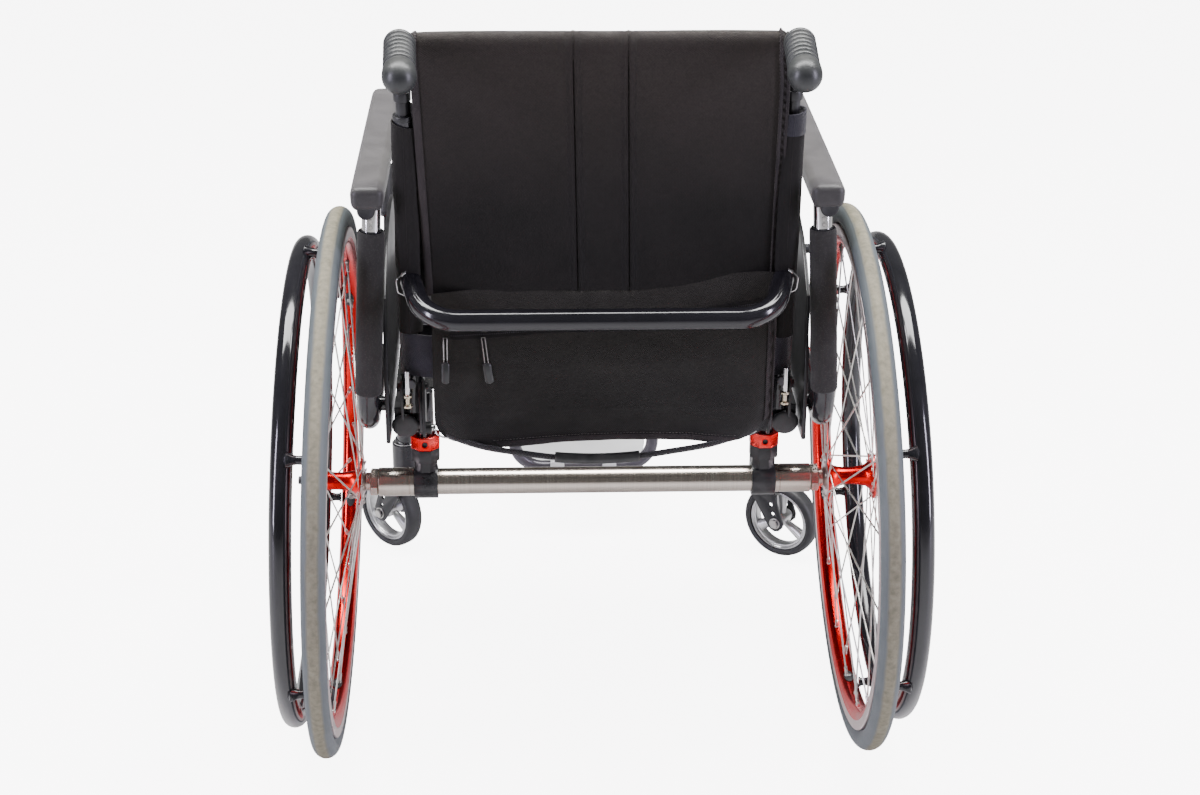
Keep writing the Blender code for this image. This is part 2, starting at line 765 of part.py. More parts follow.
def lock_shaft(side):
    """The lock's spacer, pivot and head, turned as one and welded to the rail."""
    near = FRAME_TUBE * 0.6
    plate_near = LOCK_X - GAP - RAIL_X
    plate_far = LOCK_X + LOCK_PLATE + GAP - RAIL_X
    profile = [
        (0.0, plate_far + 0.002),
        (0.0072, plate_far + 0.002),
        (0.0072, plate_far),
        (0.0040, plate_far),
        (0.0040, plate_near),
        (0.0082, plate_near),
        (0.0082, near),
        (0.0, near),
    ]
    return turned("lock_shaft", profile, axes(lock_pivot(side), (side, 0.0, 0.0)), 16)


def caster_housing(side):
    centre = at(side * CASTER_X, CASTER_Y, 0.0)
    profile = [
        (0.0, HOUSING_TOP_Z + 0.006),
        (HOUSING_RADIUS * 0.62, HOUSING_TOP_Z + 0.006),
        (HOUSING_RADIUS * 0.72, HOUSING_TOP_Z),
        (HOUSING_RADIUS, HOUSING_TOP_Z),
        (HOUSING_RADIUS, HOUSING_BOTTOM_Z),
        (0.0, HOUSING_BOTTOM_Z),
    ]
    return turned("housing", profile, Matrix.Translation(centre))


def side_frame(side):
    """Seat rail, knee and leg in one bent tube, with the caster strut, stem and lock pivot."""
    main = tube("side_frame", frame_path(side), FRAME_TUBE, FRAME_FACETS)
    top = at(side * RAIL_X, STRUT_TOP_Y, rail_z(STRUT_TOP_Y))
    foot = at(side * CASTER_X, CASTER_Y, HOUSING_TOP_Z - 0.004)
    strut = tube("strut", [top, foot], STRUT_TUBE, 3)
    stem_low = at(side * CLAMP_X, 0.0, CAMBER_TUBE_Z + CLAMP_RADIUS + 0.004)
    stem_high = at(side * CLAMP_X, 0.0, STEM_TOP_Z)
    stem = rod("stem", stem_low, stem_high, STEM_RADIUS, 16)
    body = union(main, strut, caster_housing(side), stem, lock_shaft(side))
    rear = at(side * RAIL_X, RAIL_REAR_Y, RAIL_REAR_Z)
    inside = FRAME_TUBE - TUBE_WALL
    rail_bore = rod("bore", rear - rail_axis() * 0.022, rear + rail_axis() * 0.01, inside, 12)
    leg_end = at(side * LEG_X, LEG_END_Y, LEG_END_Z)
    direction = leg_axis(side)
    leg_start = leg_end - direction * (FOOT_INSERT + 0.002)
    leg_bore = rod("leg_bore", leg_start, leg_end + direction * 0.01, FOOT_TUBE + LEG_FIT, 12, (1.0, 0.0, 0.0))
    centre = at(side * CASTER_X, CASTER_Y, 0.0)
    low = centre + Vector((0.0, 0.0, HOUSING_BOTTOM_Z - 0.01))
    high = centre + Vector((0.0, 0.0, HOUSING_TOP_Z - 0.006))
    caster_bore = rod("caster_bore", low, high, FORK_STEM_RADIUS + GAP, 16)
    return cut(body, rail_bore, leg_bore, caster_bore)


def rail_plug(side):
    """The domed plastic plug in the rail's rear end."""
    rear = at(side * RAIL_X, RAIL_REAR_Y, RAIL_REAR_Z)
    spigot = FRAME_TUBE - TUBE_WALL - GAP - 0.0003
    profile = [
        (0.0, PLUG_THICKNESS + GAP),
        (PLUG_RADIUS * 0.72, PLUG_THICKNESS + GAP - 0.0004),
        (PLUG_RADIUS, PLUG_THICKNESS * 0.55),
        (PLUG_RADIUS, GAP),
        (spigot, GAP),
        (spigot, -0.016),
        (0.0, -0.016),
    ]
    return turned("rail_plug", profile, axes(rear, rail_axis(), (1.0, 0.0, 0.0)))


def cross_tube():
    """The brace between the two legs, coped to fit against them."""
    start = on_leg(-1.0, CROSS_FRACTION)
    end = on_leg(1.0, CROSS_FRACTION)
    brace = tube("seat_cross_tube", [start, end], CROSS_TUBE)
    fat = [tube("cope", frame_path(side), FRAME_TUBE + GAP, FRAME_FACETS) for side in SIDES.values()]
    return cut(brace, *fat)


# Casters

def caster_frame(name, side):
    """A frame at the swivel axis on the floor, with Y along the trail."""
    place = Matrix.Translation(at(side * CASTER_X, CASTER_Y, 0.0))
    return place @ Matrix.Rotation(CASTER_TURN[name], 4, "Z")


def across(frame, height):
    """A frame on the caster's axle, with Z across the wheel."""
    return frame @ axes(Vector((0.0, CASTER_TRAIL, height)), (1.0, 0.0, 0.0))


def fork_plate(frame, x):
    """One side of the fork, tapering to the axle, with a row of height holes."""
    top = FORK_CROWN_Z + FORK_CROWN_HEIGHT
    tip = 0.0115
    outline = [(-0.012, top), (-0.012, top - 0.014)]
    outline += arc((CASTER_TRAIL, CASTER_RADIUS), tip, 200.0, 370.0, 5)
    outline += [(0.026, top - 0.012), (0.020, top)]
    holes = []
    for i in (1, 2):
        centre = (CASTER_TRAIL - 0.0035 * i, CASTER_RADIUS + FORK_HOLE_PITCH * i)
        holes.append(circle(centre, 0.0028, 8))
    turn = Matrix(((0.0, 0.0, 1.0, x), (1.0, 0.0, 0.0, 0.0), (0.0, 1.0, 0.0, 0.0), (0.0, 0.0, 0.0, 1.0)))
    return plate("caster_fork", [outline] + holes, FORK_PLATE, frame @ turn)


def caster_fork(frame):
    inner = CASTER_TYRE_WIDTH / 2.0 + FORK_CLEARANCE
    middle = inner + FORK_PLATE / 2.0
    outer = inner + FORK_PLATE
    top = FORK_CROWN_Z + FORK_CROWN_HEIGHT
    crown = box("crown", (-outer + 0.0002, -0.0118, FORK_CROWN_Z), (outer - 0.0002, 0.0198, top - 0.0002))
    crown.matrix_world = frame
    crown = evaluated(crown)
    stem_profile = [
        (0.0, HOUSING_TOP_Z - 0.008),
        (FORK_STEM_RADIUS, HOUSING_TOP_Z - 0.008),
        (FORK_STEM_RADIUS, HOUSING_BOTTOM_Z - GAP),
        (0.0105, HOUSING_BOTTOM_Z - GAP),
        (0.0105, top - 0.001),
        (0.0, top - 0.001),
    ]
    stem = turned("stem", stem_profile, frame, 16)
    head = outer + 0.0025
    bolt_profile = [
        (0.0, head),
        (0.0060, head),
        (0.0060, outer - 0.0005),
        (CASTER_BOLT_RADIUS, outer - 0.0005),
        (CASTER_BOLT_RADIUS, 0.0005 - outer),
        (0.0060, 0.0005 - outer),
        (0.0060, -head),
        (0.0, -head),
    ]
    bolt = turned("bolt", bolt_profile, across(frame, CASTER_RADIUS), 8)
    return union(fork_plate(frame, middle), fork_plate(frame, -middle), crown, stem, bolt)


def caster_wheel(frame):
    """The spoked caster rim with its hub."""
    wheel = across(frame, CASTER_RADIUS)
    half = 0.0090
    inner = CASTER_RIM_RADIUS - 0.0065
    ring_profile = [(CASTER_RIM_RADIUS, half), (CASTER_RIM_RADIUS, -half), (inner, -half), (inner, half)]
    ring = turned("caster_wheel", ring_profile, wheel, CASTER_STEPS, closed=True)
    reach = CASTER_TYRE_WIDTH / 2.0 + FORK_CLEARANCE - 0.0005
    bore = CASTER_BOLT_RADIUS + GAP
    hub_profile = [(CASTER_HUB_RADIUS, reach), (CASTER_HUB_RADIUS, -reach), (bore, -reach), (bore, reach)]
    centre = turned("caster_hub", hub_profile, wheel, 12, closed=True)
    arms = []
    for i in range(CASTER_SPOKES):
        a = math.radians(90.0) + 2.0 * math.pi * i / CASTER_SPOKES
        arm = box("arm", (CASTER_HUB_RADIUS - 0.0025, -0.0045, -0.0060), (inner + 0.002, 0.0045, 0.0060))
        arm.matrix_world = wheel @ Matrix.Rotation(a, 4, "Z")
        arms.append(evaluated(arm))
    return union(ring, centre, *arms)


def caster_tyre(frame):
    half = CASTER_TYRE_WIDTH / 2.0
    seat = CASTER_RIM_RADIUS + GAP
    profile = [
        (CASTER_RADIUS - 0.0040, half - 0.0006),
        (CASTER_RADIUS, half - 0.0070),
        (CASTER_RADIUS, 0.0070 - half),
        (CASTER_RADIUS - 0.0040, 0.0006 - half),
        (seat, 0.0010 - half),
        (seat, half - 0.0010),
    ]
    return turned("caster_tyre", profile, across(frame, CASTER_RADIUS), CASTER_STEPS, closed=True)


def caster(name, side):
    frame = caster_frame(name, side)
    swivel = empty("caster_swivel_" + name, frame)
    spin = empty("caster_spin_" + name, across(frame, CASTER_RADIUS))
    part("caster_fork_" + name, caster_fork(frame), SATIN_BLACK, swivel)
    part("caster_wheel_" + name, caster_wheel(frame), CASTER_SILVER, spin)
    part("caster_tyre_" + name, caster_tyre(frame), RUBBER, spin)


# Footrest

def footrest_tube():
    """The U-shaped tube that plugs into both legs and carries the footplate."""
    corners = []
    for side in (-1.0, 1.0):
        end = at(side * LEG_X, LEG_END_Y, LEG_END_Z)
        direction = leg_axis(side)
        inside = end - direction * FOOT_INSERT
        low = end + direction * ((FOOT_BAR_Z - LEG_END_Z) / direction.z)
        corners.append((inside, low))
    (right_top, right_low), (left_top, left_low) = corners
    path = rounded_path([right_top, right_low, left_low, left_top], [FOOT_BEND_RADIUS] * 2, math.radians(20.0))
    return tube("footrest_tube", path, FOOT_TUBE)


def footplate():
    """The flat plate under the bar, with the two clips that hold it there."""
    bar_y = LEG_END_Y + (FOOT_BAR_Z - LEG_END_Z) * leg_axis(1.0).y / leg_axis(1.0).z
    rear = bar_y + FOOTPLATE_MARGIN
    front = rear - FOOTPLATE_DEPTH
    half = LEG_X - 0.004
    corner = 0.018
    outline = arc((half - corner, AXLE_Y + rear - 0.004), 0.004, 0.0, 90.0, 3)
    outline += arc((corner - half, AXLE_Y + rear - 0.004), 0.004, 90.0, 180.0, 3)
    outline += arc((corner - half, AXLE_Y + front + corner), corner, 180.0, 270.0, 4)
    outline += arc((half - corner, AXLE_Y + front + corner), corner, 270.0, 360.0, 4)
    top = FOOT_BAR_Z - FOOT_TUBE - GAP
    level = Matrix.Translation((0.0, 0.0, top - FOOTPLATE_THICKNESS / 2.0))
    sheet = plate("footplate", [outline], FOOTPLATE_THICKNESS, level)
    clips = []
    outer = FOOT_TUBE + GAP + CLIP_WALL
    half_clip = CLIP_WIDTH / 2.0
    for side in SIDES.values():
        start = at(side * CLIP_X - half_clip, bar_y, FOOT_BAR_Z)
        end = at(side * CLIP_X + half_clip, bar_y, FOOT_BAR_Z)
        low = at(side * CLIP_X - half_clip - CLIP_STEP, bar_y - outer - CLIP_STEP, top - 0.001)
        high = at(side * CLIP_X + half_clip + CLIP_STEP, bar_y + outer + CLIP_STEP, FOOT_BAR_Z)
        clips.append(union(rod("clip", start, end, outer, 12), box("foot", low, high)))
    reach = Vector((0.01, 0.0, 0.0))
    body = union(sheet, *clips)
    low = at(-CLIP_X - half_clip, bar_y, FOOT_BAR_Z) - reach
    high = at(CLIP_X + half_clip, bar_y, FOOT_BAR_Z) + reach
    return cut(body, rod("bore", low, high, FOOT_TUBE + GAP, 12))


# Seat

def seat_sling():
    """The cloth seat: it laps over both rails and sags between them."""
    low = FRAME_TUBE + GAP
    lap = 50.0
    edge_turn = 2.0 * SLING_SAG / RAIL_X
    turn_in = math.degrees(math.atan(edge_turn))

    def surface(radius):
        side = arc((RAIL_X, 0.0), radius, 90.0 - lap, 90.0 + turn_in, 6)
        edge_x, edge_y = side[-1]
        count = 12
        dip = []
        for i in range(1, count):
            x = edge_x * (1.0 - 2.0 * i / count)
            dip.append((x, edge_y - SLING_SAG * (1.0 - (x / edge_x) ** 2)))
        other = [(-x, y) for x, y in reversed(side)]
        return side + dip + other

    outline = surface(low + SLING_THICKNESS) + list(reversed(surface(low)))
    middle = (SLING_FRONT_Y + SLING_REAR_Y) / 2.0
    length = (SLING_REAR_Y - SLING_FRONT_Y) * math.sqrt(1.0 + RAIL_SLOPE ** 2)
    place = axes(at(0.0, middle, rail_z(middle)), -rail_axis(), (1.0, 0.0, 0.0))
    return plate("seat_sling", [outline], length, place)


# Side guards

def side_guard(side):
    """The plate outboard of the rail's plug, its top edge following the wheel."""
    bottom_front = rail_z(GUARD_FRONT_Y) - 0.010
    bottom_rear = RAIL_REAR_Z - 0.009
    radius = 0.215
    centre = (-0.105, GUARD_TOP_Z - radius)
    outline = [(GUARD_FRONT_Y, bottom_front), (RAIL_REAR_Y - 0.030, bottom_rear - 0.001)]
    outline += [(GUARD_REAR_Y - 0.003, bottom_rear), (GUARD_REAR_Y, bottom_rear + 0.003)]
    outline += [(GUARD_REAR_Y, GUARD_TOP_Z - 0.120), (GUARD_REAR_Y - 0.011, GUARD_TOP_Z - 0.097)]
    for i in range(11):
        a = math.radians(48.0 + 109.0 * i / 10.0)
        outline.append((centre[0] + radius * math.cos(a), centre[1] + radius * math.sin(a)))
    x = GUARD_INNER_X + GUARD_THICKNESS / 2.0
    turn = Matrix(((0.0, 0.0, 1.0, side * x), (1.0, 0.0, 0.0, AXLE_Y), (0.0, 1.0, 0.0, 0.0), (0.0, 0.0, 0.0, 1.0)))
    return plate("sideguard", [outline], GUARD_THICKNESS, turn)


# Armrests

def arm_axis(side):
    """Direction up the armrest's post, which leans inboard."""
    return Vector((-side * math.sin(ARM_LEAN), 0.0, math.cos(ARM_LEAN)))


def arm_point(side, z):
    """A point on the post's axis at a height."""
    foot = at(side * ARM_X, ARM_Y, FOAM_BOTTOM_Z)
    return foot + arm_axis(side) * ((z - FOAM_BOTTOM_Z) / math.cos(ARM_LEAN))


def armrest_tube(side):
    """The J-shaped tube: a lower limb along the seat rail and an upright that holds the post."""
    corner = arm_point(side, ARM_LIMB_Z)
    front = Vector((corner.x, AXLE_Y + ARM_LIMB_FRONT_Y, ARM_LIMB_Z))
    path = rounded_path([front, corner, arm_point(side, ARM_TUBE_TOP_Z)], [ARM_BEND_RADIUS])
    body = tube("armrest_tube", path, ARM_TUBE, FRAME_FACETS)
    guard_x = GUARD_INNER_X + GUARD_THICKNESS + GAP
    lugs = []
    for y in (ARM_LIMB_FRONT_Y + 0.020, ARM_Y - ARM_BEND_RADIUS - 0.030):
        near = at(side * guard_x, y, ARM_LIMB_Z)
        far = Vector((corner.x, near.y, near.z))
        lugs.append(rod("lug", near, far, 0.0080, 12))
    start = arm_point(side, ARM_TUBE_TOP_Z - POST_INSERT - 0.004)
    end = arm_point(side, ARM_TUBE_TOP_Z + 0.01)
    bore = rod("bore", start, end, POST_RADIUS + GAP, 16)
    return cut(union(body, *lugs), bore)


def armrest_foam(side):
    """The foam sleeve round the upright."""
    start = arm_point(side, FOAM_BOTTOM_Z)
    end = arm_point(side, ARM_TUBE_TOP_Z - 0.001)
    length = (end - start).length
    inner = ARM_TUBE + 2.0 * GAP
    profile = [(FOAM_RADIUS, length), (FOAM_RADIUS, 0.0), (inner, 0.0), (inner, length)]
    return turned("armrest_foam", profile, axes(start, arm_axis(side)), 16, closed=True)


def armrest_post(side):
    """The sliding post with the bar that carries the pad."""
    start = arm_point(side, ARM_TUBE_TOP_Z - POST_INSERT)
    end = arm_point(side, ARM_BAR_Z)
    post = rod("armrest_post", start, end, POST_RADIUS, 16)
    rear = at(side * ARM_BAR_X, ARM_BAR_REAR_Y, ARM_BAR_Z)
    front = at(side * ARM_BAR_X, ARM_BAR_FRONT_Y, ARM_BAR_Z)
    bar = rod("bar", front, rear, ARM_BAR_RADIUS, 16, (1.0, 0.0, 0.0))
    return union(post, bar)


def arm_pad(side):
    """The soft pad, moulded over its bar."""
    half = PAD_WIDTH / 2.0
    rear = PAD_REAR_Y
    front = rear - PAD_LENGTH
    low = at(side * PAD_X - half, front, PAD_BOTTOM_Z)
    high = at(side * PAD_X + half, rear, PAD_BOTTOM_Z + PAD_THICKNESS)
    mesh_box = box("arm_pad", low, high)
    edge = mesh_box.modifiers.new("edges", "BEVEL")
    edge.width = 0.009
    edge.segments = 2
    body = evaluated(mesh_box)
    start = at(side * ARM_BAR_X, ARM_BAR_FRONT_Y - GAP, ARM_BAR_Z)
    end = at(side * ARM_BAR_X, ARM_BAR_REAR_Y + GAP, ARM_BAR_Z)
    groove = rod("groove", start, end, ARM_BAR_RADIUS + GAP, 16, (1.0, 0.0, 0.0))
    post_low = arm_point(side, PAD_BOTTOM_Z - 0.02)
    post_high = arm_point(side, ARM_BAR_Z + 2.0 * GAP)
    socket = rod("socket", post_low, post_high, POST_RADIUS + GAP, 16)
    return cut(body, groove, socket)


def armrest(name, side):
    slide = empty("arm_height_" + name, axes(arm_point(side, ARM_TUBE_TOP_Z), arm_axis(side)))
    part("armrest_tube_" + name, armrest_tube(side), FRAME_BLACK)
    part("armrest_foam_" + name, armrest_foam(side), FOAM)
    part("armrest_post_" + name, armrest_post(side), CHROME, slide)
    part("arm_pad_" + name, arm_pad(side), PAD, slide)


# Back

def cane_point(side, y, z):
    """A point in the back's own frame, on one cane."""
    return back_frame() @ Vector((side * CANE_X, y, z))


def plunger_centre(x, side):
    return at(side * x, PLUNGER_Y, PLUNGER_Z)


def bracket_outline():
    """Side view of a bracket plate, in y from the axle and z: round the pivot, down to the plunger."""
    outline = arc((PIVOT_Y, PIVOT_Z), BRACKET_TOP_RADIUS, 0.0, 180.0, 8)
    outline += [(PIVOT_Y - BRACKET_TOP_RADIUS - 0.0045, RAIL_REAR_Z + 0.016)]
    return outline


def side_plate(name, outline, thickness, x):
    """A plate that stands in the Y-Z plane at x, its outline in y from the axle and z."""
    turn = Matrix(((0.0, 0.0, 1.0, x), (1.0, 0.0, 0.0, AXLE_Y), (0.0, 1.0, 0.0, 0.0), (0.0, 0.0, 0.0, 1.0)))
    return plate(name, [outline], thickness, turn)


def back_bracket(side):
    """The hinge bracket on the rail: two plates, a saddle, the pivot bolt and the plunger's barrel."""
    inner_x = CANE_X - CANE_RADIUS - GAP - BRACKET_PLATE / 2.0
    outer_x = CANE_X + CANE_RADIUS + GAP + BRACKET_PLATE / 2.0
    low = PLUNGER_Z - 0.010
    inner = bracket_outline() + [(PIVOT_Y - BRACKET_TOP_RADIUS - 0.0045, low)]
    inner += arc((PLUNGER_Y, PLUNGER_Z), 0.010, 270.0, 360.0, 4)
    outer = bracket_outline() + [(PIVOT_Y + BRACKET_TOP_RADIUS, RAIL_REAR_Z + 0.016)]
    plates = side_plate("back_bracket", inner, BRACKET_PLATE, side * inner_x)
    other = side_plate("outer", outer, BRACKET_PLATE, side * outer_x)
    base_high = RAIL_REAR_Z + 0.0195
    near = side * (RAIL_X - 0.0090)
    far = side * (RAIL_X + 0.0115)
    left, right = sorted((near, far))
    saddle_low = at(left, -0.030, RAIL_REAR_Z + 0.008)
    saddle = box("saddle", saddle_low, at(right, RAIL_REAR_Y - 0.0015, base_high))
    reach = side * (inner_x - BRACKET_PLATE / 2.0 + 0.0002)
    left, right = sorted((reach, far - side * 0.001))
    bridge_low = at(left, PIVOT_Y - BRACKET_TOP_RADIUS - 0.004, RAIL_REAR_Z + 0.003)
    bridge = box("bridge", bridge_low, at(right, RAIL_REAR_Y - 0.0045, base_high - 0.0002))
    bolt_start = at(side * (inner_x - 0.0045), PIVOT_Y, PIVOT_Z)
    bolt_end = at(side * (outer_x + 0.0050), PIVOT_Y, PIVOT_Z)
    bolt = rod("bolt", bolt_start, bolt_end, PIVOT_BOLT, 8)
    head = rod("head", at(side * (outer_x + 0.001), PIVOT_Y, PIVOT_Z), bolt_end, 0.0065, 8)
    barrel = rod("barrel", plunger_centre(inner_x, side), plunger_centre(inner_x - 0.0075, side), 0.0065, 12)
    fat_ends = [at(side * RAIL_X, y, rail_z(y)) for y in (0.04, -0.06)]
    fat = tube("fat", fat_ends, FRAME_TUBE + GAP, FRAME_FACETS)
    bore_end = plunger_centre(inner_x + 0.004, side)
    bore = rod("bore", plunger_centre(inner_x - 0.012, side), bore_end, PLUNGER_RADIUS + GAP, 12)
    body = union(plates, other, saddle, bridge, bolt, head, barrel)
    return cut(body, fat, bore)


def back_cane(side):
    """The back tube with its drilled foot and the locking plate beside it."""
    start = cane_point(side, 0.0, CANE_BOTTOM)
    end = cane_point(side, 0.0, CANE_TOP)
    body = rod("back_cane", start, end, CANE_RADIUS, 16)
    outline = arc((0.0, 0.0), CANE_RADIUS - 0.0008, 20.0, 160.0, 6)
    outline += [(0.0008 - CANE_RADIUS, CANE_BOTTOM)]
    outline += arc((PLUNGER_Y - PIVOT_Y - 0.005, PLUNGER_Z - PIVOT_Z), 0.0085, 200.0, 350.0, 5)
    inner_x = side * (CANE_X - CANE_RADIUS + BRACKET_PLATE / 2.0 + 0.0002)
    turn = Matrix(((0.0, 0.0, 1.0, inner_x), (1.0, 0.0, 0.0, 0.0), (0.0, 1.0, 0.0, 0.0), (0.0, 0.0, 0.0, 1.0)))
    foot = plate("foot", [outline], BRACKET_PLATE, back_frame() @ turn)
    far = side * (CANE_X + 0.02)
    near = side * (CANE_X - 0.02)
    hole_start = back_frame() @ Vector((near, 0.0, 0.0))
    hole = rod("hole", hole_start, back_frame() @ Vector((far, 0.0, 0.0)), PIVOT_BOLT + GAP, 12)
    socket_start = cane_point(side, 0.0, CANE_TOP - 0.052)
    socket_end = cane_point(side, 0.0, CANE_TOP + 0.01)
    socket = rod("socket", socket_start, socket_end, HANDLE_POST + GAP, 16)
    return cut(union(body, foot), hole, socket)


def handle_direction(side):
    """Direction of a push grip: to the rear, a little down and inboard."""
    level = math.cos(HANDLE_DROP)
    return Vector((-side * level * math.sin(HANDLE_TOE), level * math.cos(HANDLE_TOE), math.sin(HANDLE_DROP)))


def grip_start(side):
    """Centre of the grip's front end."""
    return cane_point(side, 0.0, HANDLE_CORNER) + handle_direction(side) * (HANDLE_BEND + 0.004)


def handle_post(side):
    """The bent rod in the cane's top, with its collar."""
    start = cane_point(side, 0.0, CANE_TOP - 0.050)
    corner = cane_point(side, 0.0, HANDLE_CORNER)
    end = grip_start(side) + handle_direction(side) * (GRIP_LENGTH * 0.75)
    body = tube("handle_post", rounded_path([start, corner, end], [HANDLE_BEND]), HANDLE_POST, 2)
    collar_low = cane_point(side, 0.0, CANE_TOP + 0.016)
    collar_high = cane_point(side, 0.0, CANE_TOP + 0.026)
    return union(body, rod("collar", collar_low, collar_high, HANDLE_COLLAR_RADIUS, 12))


def push_grip(side):
    """The ribbed rubber grip: ribs, then a plain rounded end."""
    bore = HANDLE_POST + GAP + 0.0002
    depth = GRIP_LENGTH * 0.75 + 0.001
    ball = GRIP_RADIUS * 1.05
    rib_zone = GRIP_LENGTH - 2.0 * ball
    pitch = rib_zone / GRIP_RIBS
    profile = [(0.0, GRIP_LENGTH)]
    for degrees in (65.0, 40.0, 12.0):
        a = math.radians(degrees)
        profile.append((ball * math.cos(a), GRIP_LENGTH - ball + ball * math.sin(a)))
    profile.append((ball * 0.98, GRIP_LENGTH - ball - 0.006))
    for i in range(GRIP_RIBS):
        top = rib_zone - i * pitch
        profile.append((GRIP_RADIUS - 0.0022, top))
        profile.append((GRIP_RADIUS, top - pitch * 0.5))
    profile.append((GRIP_RADIUS - 0.002, 0.0))
    profile.append((bore, 0.0))
    profile.append((bore, depth))
    profile.append((0.0, depth))
    return turned("push_grip", profile, axes(grip_start(side), handle_direction(side), (1.0, 0.0, 0.0)), 10)


def sheet(name, edge_y, sag, half_width, bottom, top, thickness):
    """A cloth sheet in the back's frame, bowed to the rear between the canes."""
    count = 12
    front = []
    back = []
    for i in range(count + 1):
        x = half_width * (1.0 - 2.0 * i / count)
        y = edge_y + sag * (1.0 - (x / CANE_X) ** 2)
        front.append((x, y - thickness / 2.0))
        back.append((x, y + thickness / 2.0))
    place = back_frame() @ Matrix.Translation((0.0, 0.0, (bottom + top) / 2.0))
    return plate(name, [front + list(reversed(back))], top - bottom, place)


def sleeve(side, bottom, top):
    """A cloth sleeve round a cane."""
    outer = CANE_RADIUS + GAP + FABRIC
    inner = CANE_RADIUS + GAP
    length = top - bottom
    profile = [(outer, length), (outer, 0.0), (inner, 0.0), (inner, length)]
    start = cane_point(side, 0.0, bottom)
    direction = cane_point(side, 0.0, top) - start
    return turned("sleeve", profile, axes(start, direction), 16, closed=True)


def back_upholstery():
    """The back panel with a sleeve round each cane and a free upper edge."""
    edge_y = -(CANE_RADIUS + GAP + FABRIC / 2.0)
    thin = FABRIC * 0.8
    panel = sheet("back_upholstery", edge_y, PANEL_SAG, CANE_X, PANEL_BOTTOM, PANEL_SLEEVE_TOP, thin)
    upper_low = PANEL_SLEEVE_TOP - 0.006
    upper = sheet("upper", edge_y, PANEL_SAG, PANEL_TOP_HALF_WIDTH, upper_low, PANEL_TOP, thin * 0.9)
    sleeves = [sleeve(side, PANEL_SLEEVE_BOTTOM, PANEL_SLEEVE_TOP - 0.002) for side in SIDES.values()]
    return union(panel, upper, *sleeves)


def back_pocket():
    """The lower strap round both canes, with the pouch that hangs behind it."""
    edge_y = -(CANE_RADIUS + GAP + FABRIC / 2.0)
    strap = sheet("back_pocket", edge_y, STRAP_SAG, CANE_X, STRAP_BOTTOM + 0.001, STRAP_TOP, FABRIC * 0.8)
    sleeves = [sleeve(side, STRAP_BOTTOM, STRAP_TOP - 0.001) for side in SIDES.values()]
    half = POCKET_HALF_WIDTH
    slant = 0.032
    corners = [
        (half, POCKET_TOP),
        (-half, POCKET_TOP),
        (-half, POCKET_BOTTOM + slant),
        (slant - half, POCKET_BOTTOM),
        (half - slant, POCKET_BOTTOM),
        (half, POCKET_BOTTOM + slant),
    ]
    front_y = edge_y + STRAP_SAG + 0.0003
    turn = Matrix(((1.0, 0.0, 0.0, 0.0), (0.0, 0.0, -1.0, front_y + POCKET_DEPTH / 2.0), (0.0, 1.0, 0.0, 0.0), (0.0, 0.0, 0.0, 1.0)))
    pouch = plate("pouch", [corners], POCKET_DEPTH, back_frame() @ turn)
    edge = pouch.modifiers.new("edges", "BEVEL")
    edge.width = 0.009
    edge.segments = 2
    edge.limit_method = "ANGLE"
    return union(strap, evaluated(pouch), *sleeves)


def rigidizer_bar():
    """The bowed bar behind the back, its ends coped to sit against the covered canes."""
    ends = [Vector((side * CANE_X, 0.004, BAR_END_HEIGHT)) for side in (-1.0, 1.0)]
    corners = [Vector((side * (BAR_HALF_WIDTH + 0.010), BAR_REACH, BAR_HEIGHT)) for side in (-1.0, 1.0)]
    path = rounded_path([ends[0], corners[0], corners[1], ends[1]], [0.045] * 2)
    bar = tube("rigidizer_bar", [back_frame() @ p for p in path], BAR_RADIUS, 3)
    reach = CANE_RADIUS + GAP + FABRIC + GAP
    copes = []
    for side in SIDES.values():
        low = cane_point(side, 0.0, BAR_END_HEIGHT - 0.03)
        copes.append(rod("cope", low, cane_point(side, 0.0, BAR_END_HEIGHT + 0.03), reach, 16))
    return cut(bar, *copes)


# Back release

def ring_centre(side):
    """Centre of the pull ring, hung through the plunger's inner end."""
    inner_x = CANE_X - CANE_RADIUS - GAP - BRACKET_PLATE / 2.0
    return plunger_centre(inner_x - 0.0090 - RING_RADIUS, side) + Vector((0.0, 0.0, -0.003))


def release_plunger(side):
    """The latch pin with its pull ring."""
    inner_x = CANE_X - CANE_RADIUS - GAP - BRACKET_PLATE / 2.0
    tip = plunger_centre(inner_x + BRACKET_PLATE / 2.0 - 0.0001, side)
    end = plunger_centre(inner_x - 0.0100, side)
    pin = rod("release_plunger", end, tip, PLUNGER_RADIUS, 12)
    count = 4
    profile = []
    for i in range(count):
        a = 2.0 * math.pi * i / count
        profile.append((RING_RADIUS + RING_WIRE * math.cos(a), -RING_WIRE * math.sin(a)))
    ring = turned("ring", profile, axes(ring_centre(side), (0.0, 1.0, 0.3), (1.0, 0.0, 0.0)), 14, closed=True)
    return union(pin, ring)


def cord_end(side):
    """The cord's end: knotted in front of its ring, through it and round to the rear."""
    inboard = RING_RADIUS - RING_WIRE - CORD_RADIUS - GAP
    through = ring_centre(side) - Vector((side * inboard, 0.0, 0.0))
    steps = ((0.0, -0.0080, 0.0024), (0.0, 0.0010, -0.0003), (-0.0040, 0.0090, -0.0035))
    return [through + Vector((side * x, y, z)) for x, y, z in steps]


